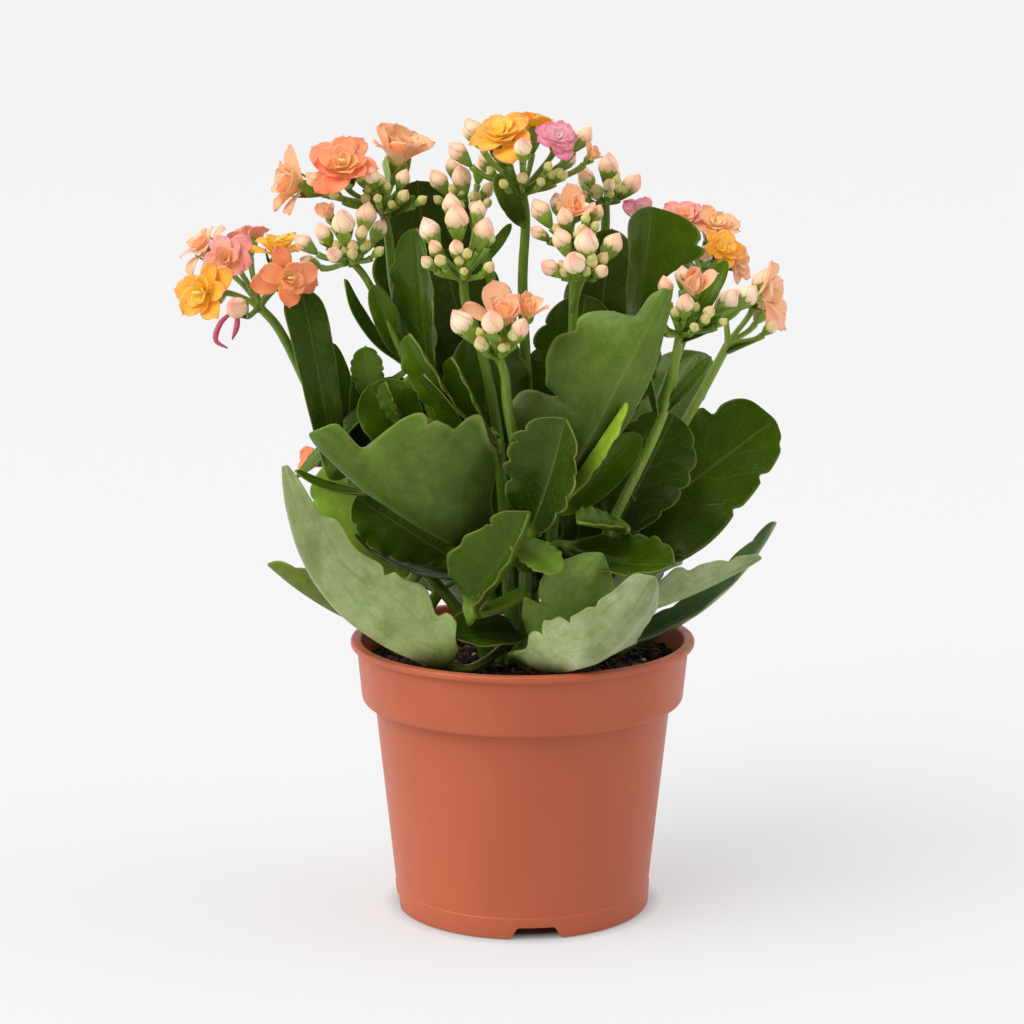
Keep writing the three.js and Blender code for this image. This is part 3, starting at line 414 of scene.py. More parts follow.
def peat_material():
    """Moist peat: nearly black crumbs with browner dry tops."""
    material, tree, shader, place = new_material("moist_peat", Roughness=0.92, Specular_IOR_Level=0.25)
    base = add_node(tree, "ShaderNodeAttribute", output="Color", attribute_name="grit_colour")
    crumbs = add_node(tree, "ShaderNodeTexNoise", {"Vector": place, "Scale": 620.0, "Detail": 6.0,
                                                   "Roughness": 0.7})
    dry = add_node(tree, "ShaderNodeMix", {0: 1.0, 6: base, 7: rgba("#e8b98a")}, 2, data_type="RGBA",
                   blend_type="MULTIPLY")
    share = add_node(tree, "ShaderNodeMapRange", [crumbs, 0.4, 0.72, 0.0, 0.8])
    colour = add_node(tree, "ShaderNodeMix", {0: share, 6: base, 7: dry}, 2, data_type="RGBA")
    wet = add_node(tree, "ShaderNodeMapRange", [crumbs, 0.55, 0.35, 0.0, 0.7])
    colour = add_node(tree, "ShaderNodeMix", {0: wet, 6: colour, 7: rgba("#120d0a")}, 2, data_type="RGBA")
    tree.links.new(colour, shader.inputs["Base Color"])
    tree.links.new(add_node(tree, "ShaderNodeBump", {"Height": crumbs, "Distance": 1.2 * MM,
                                                     "Strength": 0.9}),
                   shader.inputs["Normal"])
    return material


# ---- pot ---------------------------------------------------------------------------------------

def rounded_profile(corners, radii, steps=5):
    """Polyline with each corner replaced by a curve that leaves it by its radius on both sides."""
    p = np.asarray(corners, float)
    out = [p[0]]
    for before, corner, after, radius in zip(p[:-2], p[1:-1], p[2:], radii):
        reach = min(radius, 0.45 * np.linalg.norm(corner - before), 0.45 * np.linalg.norm(after - corner))
        a = corner + unit(before - corner) * reach
        b = corner + unit(after - corner) * reach
        t = np.linspace(0, 1, steps)[:, None]
        out.extend((1 - t) ** 2 * a + 2 * t * (1 - t) * corner + t ** 2 * b)
    out.append(p[-1])
    return np.array(out)


def make_pot(sizes):
    """Surface of revolution: radius and height follow a rounded profile, and the foot ring's lower part
    is pressed up to the height of each notch, a flat-topped bump of the angle."""
    rim, foot, height = 60.5, 45.4, 96.0
    wall = sizes.wall / MM
    lip, collar, collar_low = 2.4, 58.4, 56.8
    body_top, body_foot = 52.2, 45.1
    collar_bottom = height - 22.0
    corners = [
        (0, 4.6), (foot - 2.6, 4.6), (foot - 2.6, 0), (foot - 0.4, 0), (foot, 7.3), (body_foot, 7.7),
        (body_top, collar_bottom), (collar_low - 0.3, collar_bottom), (collar, height - lip),
        (rim, height - lip), (rim, height),
        (collar - wall, height), (collar_low - wall, collar_bottom + 1.2 * wall),
        (body_top - wall, collar_bottom + wall), (body_foot - wall, 6.6), (0, 6.6),
    ]
    radii = [0.6, 0.7, 0.7, 0.3, 0.3, 0.9, 2.0, 0.5, 1.1, 1.1, 0.9, 1.0, 1.0, 1.0]
    profile = rounded_profile(corners, radii)[1:-1]
    angle = np.linspace(0, 2 * np.pi, sizes.segments, endpoint=False)
    r = profile[:, 0][:, None] + 0 * angle
    z = profile[:, 1][:, None] + 0 * angle
    turn = (np.degrees(angle) + 90 - 6 + 45) % 90 - 45
    spread = np.abs(np.radians(turn)) * foot
    bump_up = 4.0 * (1 - smoothstep(6.2, 9.4, spread))
    band = 7.3
    inner_ring = r < foot - 1.9
    top = np.where(inner_ring, 4.6, band)
    z = np.where(z < top, bump_up + z * (top - bump_up) / top, z)
    # moulded polypropylene is never quite round or straight
    r = r + 0.12 * np.sin(3 * angle + 0.4) * (z / height) + 0.05 * np.sin(7 * angle) * (z / height)
    grid = np.stack([r * np.cos(angle), r * np.sin(angle), z], -1)
    shift = np.array([PLANT_ORIGIN[0], PLANT_ORIGIN[1], POT_LOW.z])
    surface = Surface()
    ends = [np.array([[0, 0, profile[0, 1]]]) * MM + shift, np.array([[0, 0, profile[-1, 1]]]) * MM + shift]
    surface.add(grid[None] * MM + shift, ends[0], ends[1])
    return surface


# ---- soil --------------------------------------------------------------------------------------

def make_soil(rng):
    """Peat bed: a disc whose height is a sum of random rounded crumbs, over a plain cone-like body."""
    rings, sides = 70, 240
    angle = np.linspace(0, 2 * np.pi, sides, endpoint=False)
    edge = 55.2
    radius = np.linspace(edge, 0.6, rings)[:, None] + 0 * angle
    x, y = radius * np.cos(angle), radius * np.sin(angle)
    height = 0.5 * (1 - (radius / edge) ** 2) - 0.4
    for _ in range(320):
        cx, cy = rng.uniform(-edge, edge, 2)
        size, rise = rng.uniform(1.2, 4.5), rng.uniform(-0.9, 1.5)
        height = height + rise * np.exp(-((x - cx) ** 2 + (y - cy) ** 2) / size ** 2)
    height = height + rng.normal(0, 0.22, height.shape)
    height = np.minimum(height, 3.5)
    below = [(42.8, -81.0), (49.9, -13.1), (54.4, -11.2)]
    low = np.array([[(r * math.cos(a), r * math.sin(a), z) for a in angle] for r, z in below])
    grid = np.concatenate([low, np.stack([x, y, height], -1)])
    colour = np.concatenate([np.zeros((3, sides)), smoothstep(-1.5, 2.0, height)])[..., None]
    colour = linear("#241811") * (1 - colour) + linear("#4a3425") * colour
    surface = Surface()
    surface.add(grid[None] * MM + PLANT_ORIGIN, on_plant([[0, 0, -81.0]]),
                on_plant([[0, 0, float(height[-1].mean())]]), grit_colour=colour[None])
    return surface


def make_grit(rng, sizes):
    """Loose crumbs, bark flakes and white perlite: small lumps, each a five-sided ball with dented rings."""
    count = sizes.crumbs
    place = rng.uniform(0, 1, count) ** 0.5 * 52
    turn = rng.uniform(0, 2 * np.pi, count)
    centre = np.stack([place * np.cos(turn), place * np.sin(turn), rng.uniform(0.2, 1.6, count)], -1)
    size = rng.uniform(0.5, 1.9, count)
    kinds = rng.choice(4, count, p=[0.58, 0.29, 0.09, 0.04])
    shades = np.array([linear(c) for c in ("#1c130e", "#4b3423", "#8a6a48", "#d9d2c4")])
    size = np.where(kinds >= 2, size * 0.6, size)
    flat = np.where(kinds == 2, 0.35, rng.uniform(0.6, 1.0, count))
    stretch = np.where(kinds == 2, 2.0, rng.uniform(0.8, 1.4, count))
    sides, levels = 6, np.radians([-50, -12, 25, 60])
    ring = np.cos(levels)[None, :, None] * rng.uniform(0.75, 1.2, (count, len(levels), sides))
    around = (np.linspace(0, 2 * np.pi, sides, endpoint=False)[None, None] + turn[:, None, None] * 5)
    local = np.stack([ring * np.cos(around) * stretch[:, None, None], ring * np.sin(around),
                      np.sin(levels)[None, :, None] * flat[:, None, None] + 0 * ring], -1)
    spin = rng.uniform(0, 2 * np.pi, count)
    c, s = np.cos(spin)[:, None, None], np.sin(spin)[:, None, None]
    local = np.stack([local[..., 0] * c - local[..., 1] * s, local[..., 0] * s + local[..., 1] * c,
                      local[..., 2]], -1)
    grid = local * size[:, None, None, None] + centre[:, None, None]
    ends = [centre + np.array([0, 0, k]) * (size * flat)[:, None] for k in (-0.9, 0.95)]
    surface = Surface()
    surface.add(on_plant(grid), on_plant(ends[0]), on_plant(ends[1]),
                grit_colour=np.broadcast_to(shades[kinds][:, None, None], grid.shape))
    for _ in range(sizes.fibres):
        start = np.append(rng.uniform(-44, 44, 2), rng.uniform(0.8, 2.2))
        if np.hypot(start[0], start[1]) > 50:
            continue
        wander = rng.normal(0, 1.0, (5, 3)) * [1.6, 1.6, 0.35]
        drift = np.append(rng.normal(0, 1.6, 2), 0)
        steps = np.cumsum(wander + drift, 0)
        strand = start + np.vstack([np.zeros(3), steps])
        strand *= np.minimum(1, 51 / np.hypot(strand[:, :1], strand[:, 1:2])) ** [1, 1, 0]
        path = smooth_path(on_plant(strand), 9)
        shade = linear(rng.choice(["#a07c50", "#7d5a38", "#5f452d"]))
        tube(surface, path, 0.22 * MM, sides=5, grit_colour=np.broadcast_to(shade, (9, 5, 3)))
    return surface


# ---- leaves ------------------------------------------------------------------------------------

def blade_edge(along, widest, notches, depth):
    """Half width as a share of the widest: a product of powers that peaks at widest, cut in by the notches;
    from one notch to the next the margin follows a low power of a sine, so lobes are round, notches sharp."""
    power = widest / (1 - widest) * 0.5
    blade = along ** power * (1 - along) ** 0.5 / (widest ** power * (1 - widest) ** 0.5)
    marks = np.array([*notches, 1.03])
    k = np.clip(np.searchsorted(marks, along, side="right") - 1, 0, len(marks) - 2)
    between = np.clip((along - marks[k]) / (marks[k + 1] - marks[k]), 0, 1)
    lobe = np.where(along > marks[0], np.sin(np.pi * between) ** 0.45, 1 - np.exp((along - marks[0]) / 0.03))
    return blade * (1 - depth * (1 - lobe))


def even_notches(rng, lobes):
    """Places of the notches along one margin, spread from a third of the way up with a little unevenness."""
    return np.linspace(0.36, 1, lobes + 1)[:-1] + rng.uniform(-0.03, 0.03, lobes)


def add_leaf(surface, rng, row, rows=84, sides=44):
    """Thick folded blade. Across the blade the two halves lift by the fold angle either side of a rounded
    keel; along it the midrib follows a parabola bowed to the facing side; the closed cross-section is a
    superellipse, thick at the midrib and rounded at the margin, and its margin waves with the lobes."""
    base, tip = on_plant(row["base"]), on_plant(row["tip"])
    chord = tip - base
    length = np.linalg.norm(chord)
    along_dir = chord / length
    up, _ = square_to(along_dir, facing(*row["faces"]))
    half = 0.5 * row["width"] * MM
    bow = row.get("bow", 0) * MM
    fold = math.radians(row.get("fold", 20))
    root = row["root"]

    # the midrib: a stalk from its stem, then the blade
    share = np.linspace(0, 1, rows)
    stalk_part = 0.0
    start = base
    if np.linalg.norm(root - base) > 1.5 * MM:
        start = root
        stalk_part = np.linalg.norm(root - base) / (np.linalg.norm(root - base) + length)
    blade = np.clip((share - stalk_part) / (1 - stalk_part), 0, 1)
    blade = np.where(share <= stalk_part, 0, blade)
    blade = 1 - (1 - blade) ** 1.25
    mid = base + chord * blade[:, None] + up * (4 * bow * blade * (1 - blade))[:, None]
    if stalk_part > 0:
        t = np.clip(share / stalk_part, 0, 1)[:, None]
        leave = base - chord * 0.25 * min(1.0, np.linalg.norm(root - base) / length)
        stalk_line = (1 - t) ** 2 * start + 2 * t * (1 - t) * leave + t ** 2 * base
        mid = np.where((share < stalk_part)[:, None], stalk_line, mid)
    tangent = unit(np.gradient(mid, axis=0))
    normal = unit(up - tangent * (tangent @ up)[:, None])
    side = np.cross(tangent, normal)

    # the cross-section: a superellipse round u in -1..1
    angle = np.linspace(0, 2 * np.pi, sides, endpoint=False)
    u = np.sign(np.cos(angle)) * np.abs(np.cos(angle)) ** 0.62
    face = np.sign(np.sin(angle)) * np.abs(np.sin(angle)) ** 0.62
    b = blade[:, None]
    lobes, depth = row.get("lobes", 4), row.get("depth", 0.16)
    edges = []
    for key in ("edge_minus", "edge_plus"):
        if key in row:
            curve = smooth_path(row[key], 400)
            edges.append(np.interp(b, np.maximum.accumulate(curve[:, 0]), curve[:, 1]) * MM)
        else:
            edges.append(half * blade_edge(b, row.get("widest", 0.6), even_notches(rng, lobes), depth))
    stalk_half = row.get("stalk", 2.1) * MM * (1 - 0.75 * b)
    reach = np.hypot(np.where(u > 0, edges[1], edges[0]), stalk_half)
    away = np.abs(u)
    keel = 0.16
    lift = (np.sqrt(away ** 2 + keel ** 2) - keel) / (np.sqrt(1 + keel ** 2) - keel)
    opened = smoothstep(0, 0.12, b)
    ripple = 0.05 * half * away ** 3 * np.sin(2 * np.pi * lobes * b + np.where(u > 0, 0.0, 1.3)) * opened
    angle_here = fold * opened * (1 - 0.25 * b)
    sideways = reach * u * np.cos(angle_here)
    height = reach * lift * np.sin(angle_here) + ripple * reach / half
    sheet = mid[:, None] + side[:, None] * sideways[..., None] + normal[:, None] * height[..., None]
    lean = np.sin(angle_here) * np.sign(u) * smoothstep(0, 0.25, away)
    out = unit(normal[:, None] - side[:, None] * lean[..., None])
    thick = row.get("thick", 2.0) * MM * (1 - 0.3 * b) * (1 - 0.35 * away ** 2)
    stalk_thick = stalk_half * 1.5
    thick = np.where(b < 0.2, stalk_thick + (thick - stalk_thick) * smoothstep(0, 0.2, b), thick)
    rib = np.exp(-(u / 0.07) ** 2) * (1 - b) * opened
    offset = 0.5 * thick * face + np.where(face < 0, -0.5, -0.25) * MM * rib
    grid = sheet + out * offset[..., None]

    under, upper = linear(row["under"]), linear(row["upper"])
    mix = smoothstep(-0.35, 0.35, face)[None, :, None]
    colour = under * (1 - mix) + upper * mix
    # painted light and shade: the colour is scaled towards the leaf's foot by its foot value; below 1 it is
    # painted shade where the blade meets the shaded middle of the plant, above 1 it is painted light on the
    # lit lower part of a pale leaf
    foot = row.get("foot", 0.5)
    colour = colour * (foot + (1 - foot) * smoothstep(0.05, 0.75, b))[..., None]
    # the stalk's own green, carried a little way into the blade; on the brightened pale leaves it also serves
    # as painted shade at the very foot
    stalk_tone = (smoothstep(0.14, 0.0, b))[..., None]
    colour = colour * (1 - stalk_tone) + linear("#6f8c28") * stalk_tone
    place = np.stack([u + 0 * b, b + 0 * u, face + 0 * b], -1)
    end = mid[-1:] + tangent[-1:] * 0.35 * MM
    surface.add(grid[None], mid[:1] - tangent[:1] * 0.5 * MM, end, blade=place[None],
                leaf_colour=colour[None])


# ---- flowers -----------------------------------------------------------------------------------

def add_petals(surface, rng, row, count=24, rings=9, sides=10):
    """Double flower. Petal n starts a golden angle on from the last; from the outermost to the innermost
    they get shorter and more upright. Each is a thin blade whose lean eases from one angle at its foot to
    another at its tip, cupped across, with a half width of s^0.7 (1 - s^3)^0.7 and a drawn-out point."""
    size = row["width"] * MM
    axis = facing(*row["faces"])
    foot = on_plant(row["at"]) - axis * 0.3 * size
    first, second = square_to(axis)
    radius = 0.57 * size
    openness = row.get("open", 1.0)
    n = np.arange(count)
    inner = n / (count - 1)
    turn = n * GOLDEN_ANGLE + rng.uniform(0, 6.28) + rng.normal(0, 0.2, count)
    length = radius * (1.0 - 0.6 * inner) * rng.uniform(0.88, 1.08, count)
    width = length * (0.74 + 0.10 * inner) * rng.uniform(0.85, 1.12, count)
    lean_foot = np.radians(30 + 48 * inner + 38 * (1 - openness) + rng.normal(0, 6, count))
    closing = 88 * (1 - openness) * (1 - 0.3 * inner)
    lean_tip = np.radians(-6 + 66 * inner ** 1.2 + closing + rng.normal(0, 11, count))
    s = np.linspace(0.0, 1.0, rings)
    lean = lean_foot[:, None] + (lean_tip - lean_foot)[:, None] * smoothstep(0.05, 0.95, s)[None]
    step = length[:, None] / (rings - 1)
    out = np.concatenate([np.zeros((count, 1)), np.cumsum(np.cos(lean[:, 1:]) * step, 1)], 1)
    rise = np.concatenate([np.zeros((count, 1)), np.cumsum(np.sin(lean[:, 1:]) * step, 1)], 1)
    out = out + radius * (0.10 - 0.07 * inner)[:, None]
    swell = min(radius / out.max(), 1.9)
    out, rise, width = out * swell, rise * swell, width * swell
    rise = rise + size * (0.02 + 0.14 * inner)[:, None]
    profile = (0.12 + 0.88 * s) ** 0.7 * (1 - s ** 3) ** 0.7
    profile = profile / profile.max()
    half = 0.5 * width[:, None] * profile[None] + 0.1 * MM
    angle = np.linspace(0, 2 * np.pi, sides, endpoint=False)
    u, face = np.cos(angle), np.sin(angle)
    radial = first * np.cos(turn)[:, None] + second * np.sin(turn)[:, None]
    aside = second * np.cos(turn)[:, None] - first * np.sin(turn)[:, None]
    mid = foot + radial[:, None] * out[..., None] + axis * rise[..., None]
    upward = axis * np.cos(lean)[..., None] - radial[:, None] * np.sin(lean)[..., None]
    cup = (0.22 + 0.25 * inner)[:, None, None] * half[..., None] * u ** 2
    phase = rng.uniform(0, 6.28, (count, 1, 1))
    wave = 0.05 * length[:, None, None] * np.sin(2.2 * u + phase) * s[None, :, None]
    thick = 0.26 * MM * (1 - 0.6 * s)[None, :, None]
    grid = (mid[:, :, None] + aside[:, None, None] * (half[..., None] * u)[..., None]
            + upward[:, :, None] * (cup + wave + thick * face)[..., None])
    tip = mid[:, -1] + (mid[:, -1] - mid[:, -2]) * 0.5

    heart, main, edge = (linear(c) for c in row["colours"])
    blend = s[None, :, None, None] + 0 * grid[..., :1]
    shade = heart + (main - heart) * smoothstep(0.0, 0.45, blend)
    flank = np.abs(u)[None, None, :, None] * smoothstep(0.2, 0.6, blend)
    rim = smoothstep(0.55, 1.0, np.maximum(blend, flank))
    shade = shade + (edge - shade) * rim * (1 - 0.45 * inner[:, None, None, None])
    shade = shade + (heart - shade) * 0.7 * (inner ** 2)[:, None, None, None] * (1 - 0.4 * blend)
    shade = shade * (1 + rng.normal(0, 0.05, (count, 1, 1, 1)))
    place = np.stack([u + 0 * grid[..., 0], s[None, :, None] + 0 * grid[..., 0], face + 0 * grid[..., 0]], -1)
    surface.add(grid, mid[:, 0] - (mid[:, 1] - mid[:, 0]) * 0.1, tip, petal=place,
                petal_colour=np.clip(shade, 0, 1))
    if row.get("pistil") and openness > 0.8:
        for k in range(5):
            at = foot + axis * 0.16 * size + facing(k * 72, 0) * 0.02 * size
            path = np.array([at, at + axis * 0.12 * size,
                             at + axis * 0.2 * size + facing(k * 72, 0) * 0.02 * size])
            shape = (len(path), 6, 3)
            tube(surface, path, np.array([0.3, 0.28, 0.4]) * MM, sides=6, petal=np.zeros(shape),
                 petal_colour=np.broadcast_to(linear("#e9d98c"), shape))


# ---- stems, buds and calyces -------------------------------------------------------------------

def bud_axis(hub, centre):
    """A bud stands mostly away from its hub, and a little upright."""
    return unit(unit(centre - hub) + 0.35 * UP)


def add_bud(surface, rng, hub, row, rings=18, sides=44):
    """Bud: radius R(s) = sin-shaped belly drawn to a point, times a four-step sawtooth round the axis that
    twists along it, so that each petal overlaps the next."""
    centre, size = on_plant(row[:3]), row[3] * MM
    axis = bud_axis(hub, centre)
    first, second = square_to(axis)
    s = np.linspace(0.02, 0.98, rings)
    belly = np.sin(np.pi * s ** 0.85) ** 0.72 * (1 - 0.15 * s)
    belly = belly / belly.max()
    angle = np.linspace(0, 2 * np.pi, sides, endpoint=False)
    turn = angle[None] + 1.5 * s[:, None] + rng.uniform(0, 6.28)
    saw = (4 * turn / (2 * np.pi)) % 1.0
    step = smoothstep(0.0, 0.2, saw) * (1 - 0.8 * saw)
    radius = 0.5 * size * belly[:, None] * (0.92 + 0.16 * step * np.sin(np.pi * s[:, None]) ** 0.7)
    height = (s - 0.42) * size * 1.22
    ripe = float(np.clip((row[3] - 3.4) / 1.6, 0, 1))
    grid = (centre + axis * height[:, None, None] + first * (radius * np.cos(angle))[..., None]
            + second * (radius * np.sin(angle))[..., None])
    tip = centre + axis * size * 0.74
    low = centre - axis * size * 0.53
    flesh = linear(rng.choice(["#f8d8b4", "#f6d0ac", "#f9dfc0", "#f4cbaa"]))
    body = flesh * ripe + linear("#c9d27c") * (1 - ripe)
    top = linear(rng.choice(["#f3b8a0", "#f0ac98", "#f5c0a4"])) * ripe + linear("#e2b98a") * (1 - ripe)
    foot_tone = linear("#cfd28c")
    t = s[:, None, None] + 0 * grid[..., :1]
    shade = body + (top - body) * smoothstep(0.6, 1.0, t)
    shade = foot_tone + (shade - foot_tone) * smoothstep(0.05, 0.45, t)
    seam = np.exp(-((saw - 0.04) / 0.07) ** 2)[..., None] * smoothstep(0.15, 0.4, t)
    shade = shade * (1 - seam * (1 - np.array([0.86, 0.62, 0.55])))
    place = np.stack([0.3 * np.sin(4 * turn), t[..., 0], 0 * saw + 1], -1)
    surface.add(grid[None], low[None], tip[None], petal=place[None], petal_colour=np.clip(shade, 0, 1)[None])


def add_calyx(surface, foot, axis, size, green, lobes=4, rings=10, sides=24):
    """Urn-shaped green tube whose upper edge rises in pointed sepals; a thin shell folded back inside."""
    first, second = square_to(axis)
    angle = np.linspace(0, 2 * np.pi, sides, endpoint=False)
    lobe = np.abs(np.cos(0.5 * lobes * angle)) ** 1.5
    t = np.linspace(0, 1, rings)[:, None]
    reach = 0.62 + 0.55 * lobe
    height = t * reach * size
    radius = size * (0.10 + 0.24 * np.sin(np.pi * np.clip(t * 0.62, 0, 1)) ** 0.9 + 0.16 * t ** 3)
    radius = radius + 0 * angle
    outer = (foot + axis * height[..., None] + first * (radius * np.cos(angle))[..., None]
             + second * (radius * np.sin(angle))[..., None])
    thin = radius[::-1] - 0.35 * MM
    inner = (foot + axis * (height[::-1] + 0.02 * MM)[..., None] + first * (thin * np.cos(angle))[..., None]
             + second * (thin * np.sin(angle))[..., None])
    grid = np.concatenate([outer, inner[:-2]])
    shade = np.broadcast_to(linear(green), grid.shape).copy()
    tips = np.concatenate([t + 0 * angle, (t + 0 * angle)[::-1][:-2]])[..., None]
    shade = shade * (1 + 0.25 * tips)
    surface.add(grid[None], (foot - axis * 0.4 * MM)[None], (foot + axis * height[1].mean())[None],
                stem_colour=np.clip(shade, 0, 1)[None])


def add_stem(surface, points, wide, narrow, low_colour, high_colour, count=60, sides=18, waves=0.03):
    """Tapering tube along a smooth path, very slightly swollen and fluted."""
    path = smooth_path(points, count)
    t = np.linspace(0, 1, count)
    radii = (narrow + (wide - narrow) * (1 - t) ** 1.6) * MM * (1 + waves * np.sin(9 * t + points[0][0]))
    low, high = np.array(low_colour), np.array(high_colour)
    shade = low + (high - low) * t[:, None, None]
    shade = np.broadcast_to(shade, (count, sides, 3))
    tube(surface, path, radii, sides, ridge=lambda a, s: 1 + 0.03 * np.cos(4 * a + 2 * s), stem_colour=shade)


def pedicel_path(hub, foot, axis):
    """Bezier curve that leaves the hub upwards and enters the flower along its axis."""
    reach = np.linalg.norm(foot - hub)
    a = hub + (unit(foot - hub) * 0.4 + UP * 0.3) * reach * 0.5
    b = foot - axis * reach * 0.35
    t = np.linspace(0, 1, 12)[:, None]
    return (1 - t) ** 3 * hub + 3 * (1 - t) ** 2 * t * a + 3 * (1 - t) * t ** 2 * b + t ** 3 * foot


def add_pedicel(surface, hub, foot, axis, thick, colour, sides=9):
    """Thin green stalk from the hub to a flower or bud, widening at both ends."""
    path = pedicel_path(hub, foot, axis)
    t = np.linspace(0, 1, len(path))
    radii = thick * MM * (1 + 0.6 * (1 - t) ** 6 + 0.35 * t ** 6)
    shade = np.broadcast_to(linear(colour), (len(path), sides, 3))
    tube(surface, path, radii, sides, stem_colour=shade)


# ---- the plant ---------------------------------------------------------------------------------
# Places are in mm from the middle of the soil. Buds are (x, y, z, width).

def leaf_at(base, tip, width, faces, tone, **more):
    """A leaf's row: the ends of its midrib, its width, the turn and tilt its upper face has, and its tone."""
    return {"base": base, "tip": tip, "width": width, "faces": faces, "tone": tone, **more}


def flower_at(at, width, faces, colours, **more):
    """A flower's row: its middle, width, turn and tilt, and its heart, main and edge colours."""
    return {"at": at, "width": width, "faces": faces, "colours": colours, **more}


ORANGE = ("#ffdc5c", "#febb3a", "#fb9c3e")
CORAL = ("#ffd890", "#ff9f6c", "#f47e58")
SALMON = ("#ffe2b0", "#fec198", "#f8a684")
PEACH = ("#ffdf98", "#fbc492", "#f2a47c")
PINK = ("#ffd28c", "#fbae8c", "#ee7f94")
ROSE = ("#fff0e2", "#f8b8c2", "#dc4c7c")
YELLOW = ("#fdd858", "#fccb46", "#f8b640")

